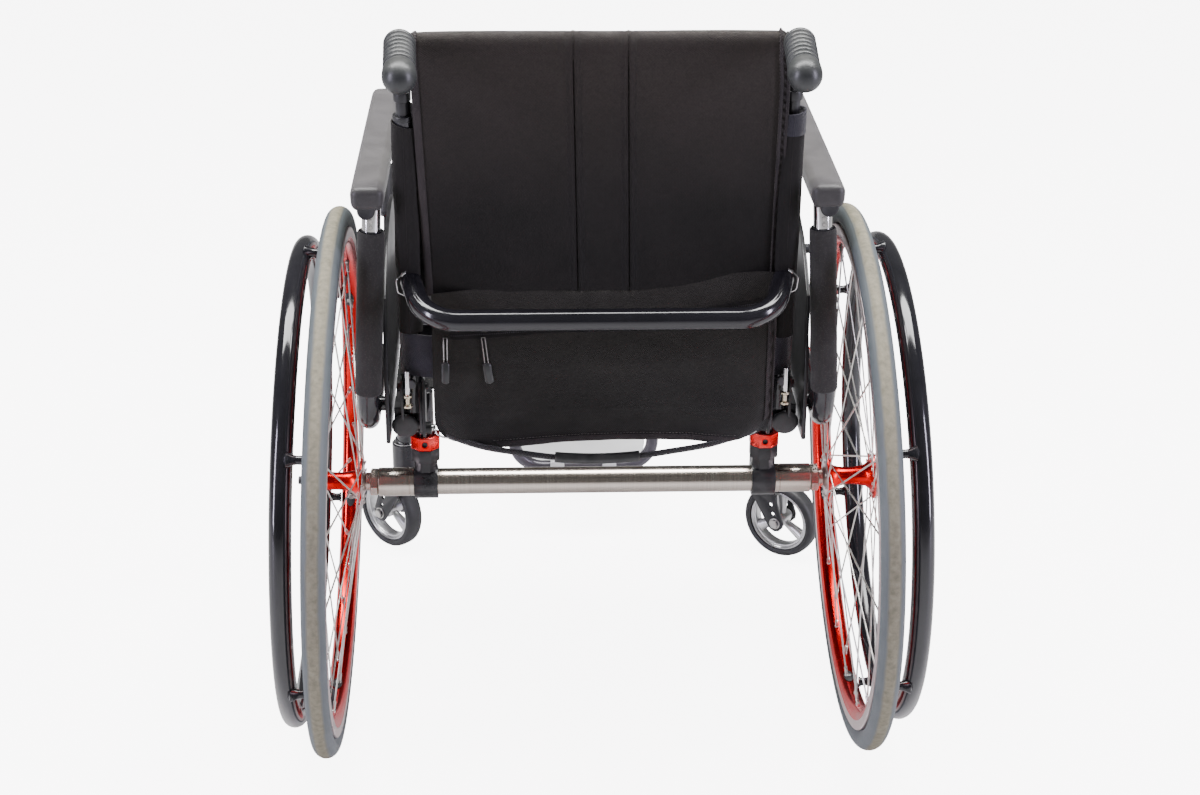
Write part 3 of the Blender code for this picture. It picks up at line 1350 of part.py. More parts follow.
def cord_route():
    """The cord's own points, from the right ring through the grip to the left ring."""
    middle = [
        at(-0.118, 0.0660, PLUNGER_Z - 0.0125),
        at(-0.075, 0.0710, PLUNGER_Z - 0.0180),
        at(-0.040, 0.0740, PLUNGER_Z - 0.0218),
        at(0.0, 0.0750, PLUNGER_Z - 0.0235),
        at(0.040, 0.0740, PLUNGER_Z - 0.0222),
        at(0.075, 0.0710, PLUNGER_Z - 0.0188),
        at(0.118, 0.0660, PLUNGER_Z - 0.0132),
    ]
    return cord_end(-1.0) + middle + list(reversed(cord_end(1.0)))


def smooth(points, spacing):
    """A smooth curve through the points, read at an even spacing."""
    dense = []
    padded = [points[0] * 2.0 - points[1]] + points + [points[-1] * 2.0 - points[-2]]
    for a, b, c, d in zip(padded, padded[1:], padded[2:], padded[3:]):
        for i in range(12):
            t = i / 12.0
            steady = 2.0 * b
            slope = (c - a) * t
            bend = (2.0 * a - 5.0 * b + 4.0 * c - d) * t ** 2
            twist = (3.0 * b - a - 3.0 * c + d) * t ** 3
            dense.append((steady + slope + bend + twist) * 0.5)
    dense.append(points[-1])
    total = sum((q - p).length for p, q in zip(dense, dense[1:]))
    count = max(2, round(total / spacing))
    even = [dense[0]]
    walked = 0.0
    for p, q in zip(dense, dense[1:]):
        step = (q - p).length
        while len(even) < count and walked + step >= total * len(even) / count:
            even.append(p.lerp(q, (total * len(even) / count - walked) / step))
        walked += step
    return even + [dense[-1]]


def cord_points():
    return smooth(cord_route(), 4.0 * CORD_RADIUS)


def release_cord():
    return tube("release_cord", cord_points(), CORD_RADIUS, 2)


def cord_sleeve():
    """The smooth rubber grip in the middle of the cord."""
    half = CORD_GRIP_LENGTH / 2.0
    covered = [p for p in cord_points() if abs(p.x) <= half]
    beyond = [p for p in cord_points() if abs(p.x) <= half + 6.0 * CORD_RADIUS]
    body = tube("cord_sleeve", covered, CORD_GRIP_RADIUS, 2)
    bore = tube("bore", beyond, CORD_RADIUS + 2.0 * GAP, 2)
    return cut(body, bore)


# Wheel locks

def brake_lever(name, side):
    """The flat lock lever with its round shoe and its handle."""
    pivot = lock_pivot(side)
    middle = LOCK_X + LOCK_PLATE / 2.0
    centre = Vector((side * middle, pivot.y, pivot.z))
    joint = empty("lock_pivot_" + name, axes(centre, (side, 0.0, 0.0)))
    shoe = (LOCK_SHOE_ARM * math.cos(LOCK_SHOE_REST), LOCK_SHOE_ARM * math.sin(LOCK_SHOE_REST))
    handle = (LOCK_HANDLE_LENGTH * math.cos(LOCK_HANDLE_ANGLE), LOCK_HANDLE_LENGTH * math.sin(LOCK_HANDLE_ANGLE))
    shoe_degrees = math.degrees(LOCK_SHOE_REST)
    handle_degrees = math.degrees(LOCK_HANDLE_ANGLE)
    outline = arc(shoe, 0.0085, shoe_degrees - 90.0, shoe_degrees + 90.0, 4)
    outline += [(0.010 * math.cos(math.radians(75.0)), 0.016)]
    outline += arc(handle, 0.0060, handle_degrees - 90.0, handle_degrees + 90.0, 4)
    outline += arc((0.0, 0.0), 0.0110, handle_degrees + 70.0, shoe_degrees + 280.0, 6)
    hole = circle((0.0, 0.0), 0.0040 + GAP, 12)
    turn = Matrix(((0.0, 0.0, 1.0, 0.0), (1.0, 0.0, 0.0, 0.0), (0.0, 1.0, 0.0, 0.0), (0.0, 0.0, 0.0, 1.0)))
    body = plate("brake_lever", [outline, hole], LOCK_PLATE, Matrix.Translation(centre) @ turn)
    outward = Vector((side * math.cos(CAMBER), 0.0, math.sin(CAMBER)))
    foot = centre + Vector((0.0, shoe[0], shoe[1]))
    bar = rod("shoe", foot - outward * 0.001, foot + outward * (LOCK_SHOE_END_X - middle), LOCK_SHOE_RADIUS, 8)
    top = centre + Vector((0.0, handle[0], handle[1]))
    low = centre.lerp(top, 0.55)
    knob = rod("knob", low, top + (top - centre) * 0.06, 0.0085, 8, (1.0, 0.0, 0.0))
    return part("brake_lever_" + name, union(body, bar, knob), SATIN_BLACK, joint)


def build():
    for name, side in SIDES.items():
        part("side_frame_" + name, side_frame(side), FRAME_BLACK)
        part("rail_plug_" + name, rail_plug(side), PLUG_GREY)
        part("axle_clamp_" + name, axle_clamp(side), SATIN_BLACK)
        part("stem_nut_" + name, stem_nut(side), ANODISED_RED)
        part("axle_receiver_" + name, axle_receiver(side), BRUSHED)
        part("back_bracket_" + name, back_bracket(side), SATIN_BLACK)
        part("sideguard_" + name, side_guard(side), SATIN_BLACK)
        armrest(name, side)
        rear_wheel(name, side)
        caster(name, side)
        brake_lever(name, side)
    part("camber_tube", camber_tube(), BRUSHED)
    part("seat_cross_tube", cross_tube(), FRAME_BLACK)
    part("footrest_tube", footrest_tube(), PLATE_GREY)
    part("footplate", footplate(), PLATE_GREY)
    part("seat_sling", seat_sling(), SLING)
    part("release_cord", release_cord(), CORD)
    part("cord_sleeve", cord_sleeve(), RUBBER)
    fold = empty("back_fold", back_frame())
    for name, side in SIDES.items():
        part("back_cane_" + name, back_cane(side), FRAME_BLACK, fold)
        part("handle_post_" + name, handle_post(side), SATIN_BLACK, fold)
        part("push_grip_" + name, push_grip(side), RUBBER, fold)
        plunger_joint = empty("release_slide_" + name, axes(plunger_centre(CANE_X, side), (-side, 0.0, 0.0)))
        part("release_plunger_" + name, release_plunger(side), CHROME, plunger_joint)
    part("back_upholstery", back_upholstery(), CLOTH, fold)
    part("back_pocket", back_pocket(), CLOTH, fold)
    part("rigidizer_bar", rigidizer_bar(), FRAME_BLACK, fold)


build()
triangles = sum(len(p.vertices) - 2 for o in PARTS.objects if o.type == "MESH" for p in o.data.polygons)
print("sub-parts", sum(o.type == "MESH" for o in PARTS.objects), "triangles", triangles)
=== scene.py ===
# %% [markdown]
# # A rigid-frame wheelchair, seen from behind
#
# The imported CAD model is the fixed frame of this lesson. It says where every tube, wheel and
# strap is, and nothing here moves it. The lesson dresses it: finer wheels, cloth, foam, rubber
# and painted metal, each made the way that the real piece is made.
# All lengths are metres. The chair faces -Y, and its own left side is +X.

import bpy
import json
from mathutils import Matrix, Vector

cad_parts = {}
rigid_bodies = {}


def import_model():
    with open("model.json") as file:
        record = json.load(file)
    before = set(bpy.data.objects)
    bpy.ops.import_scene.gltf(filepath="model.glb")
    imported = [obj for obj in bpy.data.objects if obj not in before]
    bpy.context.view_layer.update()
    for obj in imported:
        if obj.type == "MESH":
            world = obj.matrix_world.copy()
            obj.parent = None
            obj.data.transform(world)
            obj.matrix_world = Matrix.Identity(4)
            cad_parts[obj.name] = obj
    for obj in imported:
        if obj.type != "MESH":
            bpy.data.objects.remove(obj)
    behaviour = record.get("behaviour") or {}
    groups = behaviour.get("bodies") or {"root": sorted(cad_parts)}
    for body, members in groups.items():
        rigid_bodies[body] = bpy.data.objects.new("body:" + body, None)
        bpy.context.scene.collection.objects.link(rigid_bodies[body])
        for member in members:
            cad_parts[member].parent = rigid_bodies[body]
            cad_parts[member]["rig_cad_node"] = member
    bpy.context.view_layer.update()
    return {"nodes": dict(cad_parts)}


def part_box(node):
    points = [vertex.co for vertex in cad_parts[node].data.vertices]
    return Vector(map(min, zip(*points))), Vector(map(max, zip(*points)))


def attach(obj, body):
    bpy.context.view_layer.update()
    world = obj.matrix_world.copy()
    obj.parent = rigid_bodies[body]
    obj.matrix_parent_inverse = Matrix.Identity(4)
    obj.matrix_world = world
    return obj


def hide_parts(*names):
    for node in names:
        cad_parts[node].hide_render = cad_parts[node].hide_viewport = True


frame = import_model()

# %% Tools of the trade
import json
import math

import bpy
from mathutils import Matrix, Vector, noise

SIDES = {"left": 1.0, "right": -1.0}
X, Y, Z = (1.0, 0.0, 0.0), (0.0, 1.0, 0.0), (0.0, 0.0, 1.0)
AXLE_Y = 0.1395


def at(x, y, z):
    """A point whose y is counted from the rear axle, as the CAD counts it."""
    return Vector((x, AXLE_Y + y, z))


# %% [markdown]
# ## The camera
#
# The photograph looks down at the chair's back from a little above and from its left. A long
# lens stands well away, so that the near wheel isn't blown up. The camera's place, its three
# turns and its lens were worked out once from the wheels, and they are set here as numbers.

# %% Set up the camera
EYE = (0.0716, 2.2705, 1.3193)
YAW = math.radians(-2.0616)
PITCH = math.radians(23.523)
ROLL = math.radians(0.284)
LENS = 65.42
SENSOR_WIDTH = 36.0

forward = Vector((math.sin(YAW) * math.cos(PITCH), -math.cos(YAW) * math.cos(PITCH), -math.sin(PITCH)))
level = forward.cross(Vector(Z)).normalized()
upright = level.cross(forward)
right = level * math.cos(ROLL) + upright * math.sin(ROLL)
up = upright * math.cos(ROLL) - level * math.sin(ROLL)

bpy.ops.object.select_all(action="DESELECT")
bpy.ops.object.camera_add(location=EYE)
camera = bpy.context.object
camera.name = "camera"
camera.rotation_euler = Matrix((right, up, -forward)).transposed().to_euler()
camera.data.sensor_width = SENSOR_WIDTH
camera.data.lens = LENS
bpy.context.scene.camera = camera
print("camera", tuple(round(x, 3) for x in camera.location), "lens", round(camera.data.lens, 2))

# %% [markdown]
# ## Working by hand, in code
#
# An operator acts on whatever is selected. So each step first lets go of everything, picks what
# it works on, and only then calls the operator. These few helpers are the hand movements that
# come back for every piece: add a form, pick it, weld the points that meet, put it in its place.

# %% Pick, add, weld and place
MEETING = 0.00001
FLAT_ENOUGH = math.radians(1.0)
SHARP_ENOUGH = math.radians(30.0)


def pick(*objects):
    """Selects these objects and nothing else, the first one active."""
    bpy.ops.object.select_all(action="DESELECT")
    for obj in objects:
        obj.select_set(True)
    bpy.context.view_layer.objects.active = objects[0]


def edit(obj):
    """Goes into edit mode with the whole mesh selected."""
    pick(obj)
    bpy.ops.object.mode_set(mode="EDIT")
    bpy.ops.mesh.select_all(action="SELECT")


def done():
    bpy.ops.object.mode_set(mode="OBJECT")


def new(operator, name=None, **settings):
    """Adds an object with one of Blender's own operators, with nothing else selected."""
    bpy.ops.object.select_all(action="DESELECT")
    operator(**settings)
    if name:
        bpy.context.object.name = name
    return bpy.context.object


def shade(degrees):
    """Smooths the picked piece, apart from edges that are sharper than the angle."""
    bpy.ops.object.shade_smooth_by_angle(angle=math.radians(degrees))


def modify(obj, kind, **settings):
    """Adds a modifier with these settings and applies it."""
    made = obj.modifiers.new(kind, kind)
    for key, value in settings.items():
        setattr(made, key, value)
    pick(obj)
    bpy.ops.object.modifier_apply(modifier=made.name)


def weld(obj, angle=35.0):
    """Merges points that meet, drops loose edges, turns faces outward and smooths round shapes."""
    edit(obj)
    bpy.ops.mesh.remove_doubles(threshold=MEETING)
    bpy.ops.mesh.delete_loose()
    bpy.ops.mesh.select_all(action="SELECT")
    bpy.ops.mesh.normals_make_consistent(inside=False)
    done()
    shade(angle)
    return obj


def stamp(obj, name, points):
    """Writes one vector for each point of the mesh, which a material can read by that name."""
    layer = obj.data.attributes.get(name) or obj.data.attributes.new(name, "FLOAT_VECTOR", "POINT")
    layer.data.foreach_set("vector", [x for point in points for x in point])


def stamp_local(obj):
    """Keeps where the points are now as the attribute local, unless they have it."""
    if "local" not in obj.data.attributes:
        stamp(obj, "local", [tuple(vertex.co) for vertex in obj.data.vertices])


def place(obj, matrix):
    """Moves a piece to its place. Its points keep where they were before, as local."""
    stamp_local(obj)
    pick(obj)
    obj.matrix_world = matrix
    bpy.ops.object.transform_apply(location=True, rotation=True, scale=True)
    return obj


def axes(origin, z_axis, x_axis=Y):
    """A matrix at origin with its Z along z_axis and its X as near x_axis as it can be."""
    z = Vector(z_axis).normalized()
    x = Vector(x_axis)
    x = (x - z * x.dot(z)).normalized()
    return Matrix.Translation(origin) @ Matrix((x, z.cross(x), z)).transposed().to_4x4()


def join(name, *objects):
    """Several meshes made one piece, each keeping its own materials."""
    pick(*objects)
    bpy.ops.object.join()
    bpy.context.object.name = name
    return bpy.context.object


def copies(name, model, matrices):
    """The piece once more at every matrix, all joined as one mesh."""
    stamp_local(model)
    made = []
    for matrix in matrices:
        twin = model.copy()
        twin.data = model.data.copy()
        twin.matrix_world = matrix
        bpy.context.collection.objects.link(twin)
        made.append(twin)
    bpy.data.objects.remove(model)
    bpy.context.view_layer.update()
    joined = join(name, *made)
    bpy.ops.object.transform_apply(location=True, rotation=True, scale=True)
    return joined


# %% [markdown]
# ## Three ways to a round piece
#
# A lathe, a tube bender and a press make most of a wheelchair. `turned` is the lathe: it draws
# half a section and spins it. `tube` is the bender: a line gets thickness and is turned into a
# mesh. `refined` takes a sound CAD solid, welds it and softens its edges, for flat plates and
# small blocks whose shape is already right.


# %% The lathe
def turned(name, section, matrix, steps=48, angle=35.0):
    """A section of (radius, height) points spun round the local Z axis."""
    obj = new(bpy.ops.mesh.primitive_circle_add, name, vertices=len(section))
    for vertex, (radius, height) in zip(obj.data.vertices, section):
        vertex.co = (radius, 0.0, height)
    edit(obj)
    bpy.ops.mesh.spin(steps=steps, angle=math.tau, center=(0.0, 0.0, 0.0), axis=Z)
    done()
    return place(weld(obj, angle), matrix)


def mirrored(upper):
    """A section whose lower half mirrors the upper one."""
    return upper + [(radius, -height) for radius, height in reversed(upper)]


def arc(radius, height, bevel, start):
    """A quarter of a rounded rim: four points, from an angle in degrees down."""
    turns = [math.radians(start - 90.0 * i / 3) for i in range(4)]
    return [(radius + bevel * math.cos(a), height + bevel * math.sin(a)) for a in turns]


def capped(radius, low, high, bevel):
    """The section of a solid rod with rounded rims."""
    upper = arc(radius - bevel, high - bevel, bevel, 90.0)
    return [(0.0, high)] + upper + arc(radius - bevel, low + bevel, bevel, 0.0) + [(0.0, low)]


# %% The tube bender
def rounded_path(points, radii, step=math.radians(6.0)):
    """The line through points, with an arc of the given radius at each inner corner."""
    path = [Vector(points[0])]
    for before, corner, after, radius in zip(points, points[1:], points[2:], radii):
        corner = Vector(corner)
        to_before = (Vector(before) - corner).normalized()
        to_after = (Vector(after) - corner).normalized()
        half = to_before.angle(to_after) / 2.0
        centre = corner + (to_before + to_after).normalized() * (radius / math.sin(half))
        start = corner + to_before * (radius / math.tan(half)) - centre
        axis = to_before.cross(to_after).normalized()
        sweep = math.pi - 2.0 * half
        count = max(1, math.ceil(sweep / step))
        for i in range(count + 1):
            path.append(centre + Matrix.Rotation(-sweep * i / count, 3, axis) @ start)
    path.append(Vector(points[-1]))
    return path


def tube(name, path, radius, resolution=8, closed=False):
    """A round bar along a line of points, made a mesh."""
    obj = new(bpy.ops.curve.primitive_bezier_curve_add, name)
    data = obj.data
    data.splines.remove(data.splines[0])
    data.bevel_depth = radius
    data.bevel_resolution = resolution
    data.use_fill_caps = not closed
    spline = data.splines.new("POLY")
    spline.points.add(len(path) - 1)
    for point, co in zip(spline.points, path):
        point.co = (*co, 1.0)
    spline.use_cyclic_u = closed
    bpy.ops.object.convert(target="MESH")
    weld(obj)
    sides = len(obj.data.vertices) // len(path)
    walked = [0.0]
    for p, q in zip(path, path[1:]):
        walked.append(walked[-1] + (Vector(q) - Vector(p)).length)
    turns = [math.tau * i / sides for i in range(sides)]
    stamp(obj, "local", [(radius * math.cos(a), radius * math.sin(a), z) for z in walked for a in turns])
    return obj


# %% The CAD solid with its edges softened
def refined(name, node, bevel, segments=2):
    """A copy of a CAD node's mesh: welded, its flat faces made whole, its sharp edges rounded."""
    pick(frame["nodes"][node])
    bpy.ops.object.duplicate()
    obj = bpy.context.object
    obj.name = name
    obj.parent = None
    del obj["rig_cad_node"]
    edit(obj)
    bpy.ops.mesh.remove_doubles(threshold=MEETING / 2.0)
    bpy.ops.mesh.dissolve_limited(angle_limit=FLAT_ENOUGH)
    done()
    modify(obj, "BEVEL", width=bevel, segments=segments, limit_method="ANGLE", angle_limit=SHARP_ENOUGH)
    shade(42.0)
    return obj


# %% Fitting a piece to the frame
def fit(obj, body, slot, *materials, replaces=()):
    """Paints a piece, lets it ride on its body and hides the CAD nodes it stands for."""
    if materials:
        obj.data.materials.clear()
        for one in materials:
            obj.data.materials.append(one)
    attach(obj, body)
    if replaces:
        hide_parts(*replaces)


def paint_faces(obj, index, test):
    """Gives the faces whose centre and normal pass the test the material of that index."""
    for face in obj.data.polygons:
        if test(face.center, face.normal):
            face.material_index = index


def both_sides(*makers):
    """Makes each piece for the left and then for the right side."""
    for name, side in SIDES.items():
        for make in makers:
            make(name, side)


print("helpers ready")

# %% [markdown]
# ## Effects that many finishes share
#
# No real surface has one colour. Paint is cloudy, edges rub bare, dust lies on top, cloth is woven.
# Each of these is made once as a shader node group with named inputs, and every finish places
# the groups it needs with values of its own. All patterns are counted in metres.


# %% A short way to add nodes
def feed(tree, sockets, feeds):
    """Links an output to each of these sockets, or sets the socket to a plain value."""
    for key, value in feeds.items():
        if isinstance(value, bpy.types.NodeSocket):
            tree.links.new(value, sockets[key])
        else:
            sockets[key].default_value = value


def add(tree, kind, feeds=None, **settings):
    """A node with its settings and its fed inputs."""
    made = tree.nodes.new("ShaderNode" + kind)
    for key, value in settings.items():
        setattr(made, key, value)
    feed(tree, made.inputs, feeds or {})
    return made


def maths(tree, operation, a, b=0.0, clamp=False):
    return add(tree, "Math", {0: a, 1: b}, operation=operation, use_clamp=clamp).outputs[0]


def times(tree, a, b):
    return maths(tree, "MULTIPLY", a, b)


def part(tree, vector, label):
    """One of a vector's three numbers."""
    return add(tree, "SeparateXYZ", {0: vector}).outputs[label]


def noisy(tree, vector, scale, detail=2.0, rough=0.5):
    """A noise that changes from place to place."""
    feeds = {"Vector": vector, "Scale": scale, "Detail": detail, "Roughness": rough}
    return add(tree, "TexNoise", feeds).outputs["Fac"]


def blend_colour(tree, mask, a, b):
    """Colour a where the mask is 0 and colour b where it is 1."""
    a, b = (x if isinstance(x, bpy.types.NodeSocket) else (*x, 1.0) for x in (a, b))
    return add(tree, "Mix", {0: mask, 6: a, 7: b}, data_type="RGBA").outputs[2]


def spread(tree, value, low, high, out_low=0.0, out_high=1.0):
    """The value between low and high, spread over the output range."""
    feeds = {"Value": value, "From Min": low, "From Max": high, "To Min": out_low, "To Max": out_high}
    return add(tree, "MapRange", feeds).outputs[0]


def new_group(name, outputs, **inputs):
    """An empty group with a Vector input, plain inputs with their values, and plain outputs."""
    tree = bpy.data.node_groups.new(name, "ShaderNodeTree")
    tree.interface.new_socket("Vector", in_out="INPUT", socket_type="NodeSocketVector")
    for label, value in inputs.items():
        socket = tree.interface.new_socket(label, in_out="INPUT", socket_type="NodeSocketFloat")
        socket.default_value = value
    for label in outputs:
        tree.interface.new_socket(label, in_out="OUTPUT", socket_type="NodeSocketFloat")
    given = tree.nodes.new("NodeGroupInput").outputs
    taken = tree.nodes.new("NodeGroupOutput").inputs
    return tree, given, taken


def use(tree, group, vector, **feeds):
    """A placed group, with its own values."""
    made = add(tree, "Group", node_tree=bpy.data.node_groups[group])
    feed(tree, made.inputs, {"Vector": vector, **feeds})
    return made.outputs


def cloudy(tree, vector, scale, contrast):
    return use(tree, "clouds", vector, Scale=scale, Contrast=contrast)["Mask"]


# %% Clouds: slow changes of tone
tree, given, taken = new_group("clouds", ["Mask"], Scale=10.0, Contrast=0.3)
drift = noisy(tree, given["Vector"], given["Scale"], 5.0, 0.6)
low = maths(tree, "SUBTRACT", 0.5, given["Contrast"])
high = maths(tree, "ADD", 0.5, given["Contrast"])
tree.links.new(spread(tree, drift, low, high), taken["Mask"])

# %% Grain: the fine tooth of a moulded or painted skin
tree, given, taken = new_group("grain", ["Height", "Specks"], Scale=900.0)
cells = add(tree, "TexVoronoi", {"Vector": given["Vector"], "Scale": given["Scale"]})
tree.links.new(noisy(tree, given["Vector"], given["Scale"], 3.0, 0.7), taken["Height"])
tree.links.new(spread(tree, cells.outputs["Distance"], 0.32, 0.12), taken["Specks"])

# %% Wear: bright or dull patches along the edges that get rubbed
tree, given, taken = new_group("edge_wear", ["Mask"], Amount=0.5)
edge = spread(tree, add(tree, "NewGeometry").outputs["Pointiness"], 0.515, 0.60)
patchy = spread(tree, noisy(tree, given["Vector"], 60.0, 4.0), 0.42, 0.62)
worn = maths(tree, "MULTIPLY", times(tree, edge, patchy), given["Amount"], clamp=True)
tree.links.new(worn, taken["Mask"])

# %% Dust: a thin pale film on faces that look up
tree, given, taken = new_group("dust", ["Mask"], Amount=0.3)
lying = spread(tree, part(tree, add(tree, "NewGeometry").outputs["Normal"], "Z"), 0.2, 1.0)
scattered = spread(tree, noisy(tree, given["Vector"], 35.0, 6.0, 0.7), 0.35, 0.75)
film = maths(tree, "MULTIPLY", times(tree, lying, scattered), given["Amount"], clamp=True)
tree.links.new(film, taken["Mask"])

# %% Brushing: fine scratches along the direction in which the given vector is squeezed
tree, given, taken = new_group("brushing", ["Mask", "Height"], Scale=1.0)
coarse = noisy(tree, given["Vector"], given["Scale"])
hair = noisy(tree, given["Vector"], times(tree, given["Scale"], 4.3))
tree.links.new(spread(tree, coarse, 0.3, 0.7), taken["Mask"])
tree.links.new(maths(tree, "ADD", coarse, hair), taken["Height"])

# %% Weave: threads that cross, or step along a diagonal in a twill
tree, given, taken = new_group("weave", ["Height", "Mask"], Pitch=0.001, Twill=0.0)
turn = maths(tree, "DIVIDE", math.tau, given["Pitch"])
across = times(tree, part(tree, given["Vector"], "X"), turn)
along = times(tree, part(tree, given["Vector"], "Y"), turn)
crossing = times(tree, maths(tree, "SINE", across), maths(tree, "SINE", along))
slanted = maths(tree, "SINE", maths(tree, "ADD", across, along))
plain_share = times(tree, crossing, maths(tree, "SUBTRACT", 1.0, given["Twill"]))
cloth_height = maths(tree, "ADD", plain_share, times(tree, slanted, given["Twill"]))
tree.links.new(cloth_height, taken["Height"])
tree.links.new(spread(tree, cloth_height, -1.0, 1.0), taken["Mask"])
print("effects", [group.name for group in bpy.data.node_groups])


# %% [markdown]
# ## Finishes for metal, plastic and rubber
#
# Most of the chair's finishes are one recipe with other values: a base colour that drifts a
# little, a fine tooth, rubbed edges and a film of dust. `finish` writes that recipe down once.
# Metal, coat and sheen are set on the shader, because they are the same all over a real piece.


# %% The common recipe
DUST_COLOUR = (0.42, 0.40, 0.37)


def start_material(name, metallic=0.0, coat=0.0, sheen=0.0, specular=0.5):
    """A new material with what is the same all over it, set on its shader."""
    made = bpy.data.materials.new(name)
    made.use_nodes = True
    shader = made.node_tree.nodes["Principled BSDF"].inputs
    feed(made.node_tree, shader, {
        "Metallic": metallic, "Coat Weight": coat, "Coat Roughness": 0.06, "Sheen Weight": sheen,
        "Sheen Roughness": 0.4, "IOR": 1.5, "Specular IOR Level": specular})
    return made, made.node_tree, shader


def surface(tree, shader, colour, roughness, normal):
    """Feeds the three shader inputs that change over the surface."""
    feed(tree, shader, {"Base Color": colour, "Roughness": roughness, "Normal": normal})


def bump(tree, height, distance, strength=1.0, under=None):
    feeds = {"Height": height, "Distance": distance, "Strength": strength}
    if under:
        feeds["Normal"] = under
    return add(tree, "Bump", feeds).outputs[0]


def finish(name, dark, light, rough, clouds, grain, depth, worn=None, wear=0.5, dust=0.0, **gloss):
    """A painted, anodised, moulded or plated surface."""
    made, tree, shader = start_material(name, **gloss)
    spot = add(tree, "TexCoord").outputs["Object"]
    tone = cloudy(tree, spot, clouds, 0.22)
    colour = blend_colour(tree, tone, dark, light)
    if worn:
        colour = blend_colour(tree, use(tree, "edge_wear", spot, Amount=wear)["Mask"], colour, worn)
    roughness = spread(tree, tone, 0.0, 1.0, *rough)
    if dust:
        film = use(tree, "dust", spot, Amount=dust)["Mask"]
        colour = blend_colour(tree, film, colour, DUST_COLOUR)
        roughness = maths(tree, "ADD", roughness, times(tree, film, 0.4), clamp=True)
    tooth = use(tree, "grain", spot, Scale=grain)["Height"]
    surface(tree, shader, colour, roughness, bump(tree, tooth, depth))
    return made


# %% Paints, plastics and rubbers
GLOSS_BLACK = finish("gloss_black_paint", (0.008, 0.008, 0.010), (0.016, 0.015, 0.019), (0.10, 0.20),
                     9.0, 500.0, 0.00001, worn=(0.08, 0.08, 0.085), wear=0.25, coat=0.4)
SATIN_BLACK = finish("satin_black", (0.009, 0.009, 0.010), (0.017, 0.017, 0.019), (0.26, 0.36),
                     22.0, 900.0, 0.00003, worn=(0.10, 0.10, 0.10), wear=0.4, dust=0.04)
MOULDED_BLACK = finish("moulded_black", (0.016, 0.016, 0.017), (0.030, 0.030, 0.031), (0.48, 0.60),
                       18.0, 1100.0, 0.00005, dust=0.16)
PLUG_PLASTIC = finish("plug_plastic", (0.052, 0.052, 0.055), (0.075, 0.075, 0.078), (0.50, 0.62),
                      90.0, 1500.0, 0.00005)
GRIP_RUBBER = finish("grip_rubber", (0.024, 0.026, 0.026), (0.044, 0.047, 0.045), (0.30, 0.44),
                     45.0, 1300.0, 0.00005, worn=(0.16, 0.16, 0.15), wear=0.6, dust=0.12)
BLACK_RUBBER = finish("black_rubber", (0.016, 0.016, 0.017), (0.032, 0.032, 0.033), (0.46, 0.60),
                      45.0, 1300.0, 0.00005, dust=0.12)

# %% Metals, bare, plated or anodised
RED_ANODISED = finish("red_anodised", (0.640, 0.003, 0.004), (0.880, 0.006, 0.008), (0.20, 0.30),
                      16.0, 800.0, 0.00001, worn=(0.90, 0.30, 0.26), wear=0.6, metallic=1.0)
RIM_SIDE = finish("rim_side", (0.640, 0.480, 0.480), (0.800, 0.690, 0.680), (0.26, 0.36),
                  30.0, 900.0, 0.00001, metallic=1.0)
CHROME = finish("polished_chrome", (0.780, 0.780, 0.780), (0.900, 0.895, 0.885), (0.06, 0.14),
                40.0, 900.0, 0.00001, metallic=1.0)
STAINLESS = finish("stainless_spoke", (0.700, 0.670, 0.620), (0.880, 0.860, 0.820), (0.24, 0.36),
                   60.0, 900.0, 0.00001, metallic=1.0)
STEEL = finish("zinc_steel", (0.430, 0.420, 0.400), (0.620, 0.600, 0.570), (0.28, 0.42),
               70.0, 1200.0, 0.00002, metallic=1.0)
BRASS = finish("nickel_brass", (0.560, 0.480, 0.340), (0.760, 0.680, 0.520), (0.20, 0.32),
               90.0, 1200.0, 0.00001, metallic=1.0)
CASTER_SILVER = finish("caster_silver", (0.600, 0.600, 0.600), (0.780, 0.780, 0.775), (0.24, 0.36),
                       30.0, 900.0, 0.00002, metallic=0.85, dust=0.10)
FOOT_SILVER = finish("foot_silver", (0.780, 0.775, 0.780), (0.880, 0.880, 0.880), (0.30, 0.42),
                     20.0, 900.0, 0.00002, metallic=0.3)
FOOT_GREY = finish("foot_grey", (0.085, 0.080, 0.092), (0.140, 0.132, 0.148), (0.26, 0.38),
                   20.0, 900.0, 0.00001, metallic=0.5)
print("finishes", sum(m.use_nodes for m in bpy.data.materials))


# %% Worn tyre rubber
def tyre_material():
    """Blue-grey side walls, and a tread worn to a dusty tan band with a wavy edge."""
    made, tree, shader = start_material("tyre_rubber")
    spot = add(tree, "TexCoord").outputs["Object"]
    local = add(tree, "Attribute", attribute_name="local").outputs["Vector"]
    height = maths(tree, "ABSOLUTE", part(tree, local, "Z"))
    waves = cloudy(tree, spot, 30.0, 0.3)
    scuffs = cloudy(tree, spot, 160.0, 0.2)
    edge = maths(tree, "ADD", height, spread(tree, waves, 0.0, 1.0, -0.0009, 0.0009))
    edge = maths(tree, "ADD", edge, spread(tree, scuffs, 0.0, 1.0, -0.0004, 0.0004))
    band = spread(tree, edge, 0.0072, 0.0042)
    side = blend_colour(tree, waves, (0.092, 0.108, 0.114), (0.135, 0.152, 0.157))
    tread = blend_colour(tree, scuffs, (0.190, 0.174, 0.122), (0.310, 0.284, 0.205))
    tooth = use(tree, "grain", spot, Scale=900.0)["Height"]
    surface(tree, shader, blend_colour(tree, band, side, tread),
          spread(tree, band, 0.0, 1.0, 0.52, 0.80), bump(tree, tooth, 0.00012, 0.8))
    return made


TYRE_RUBBER = tyre_material()


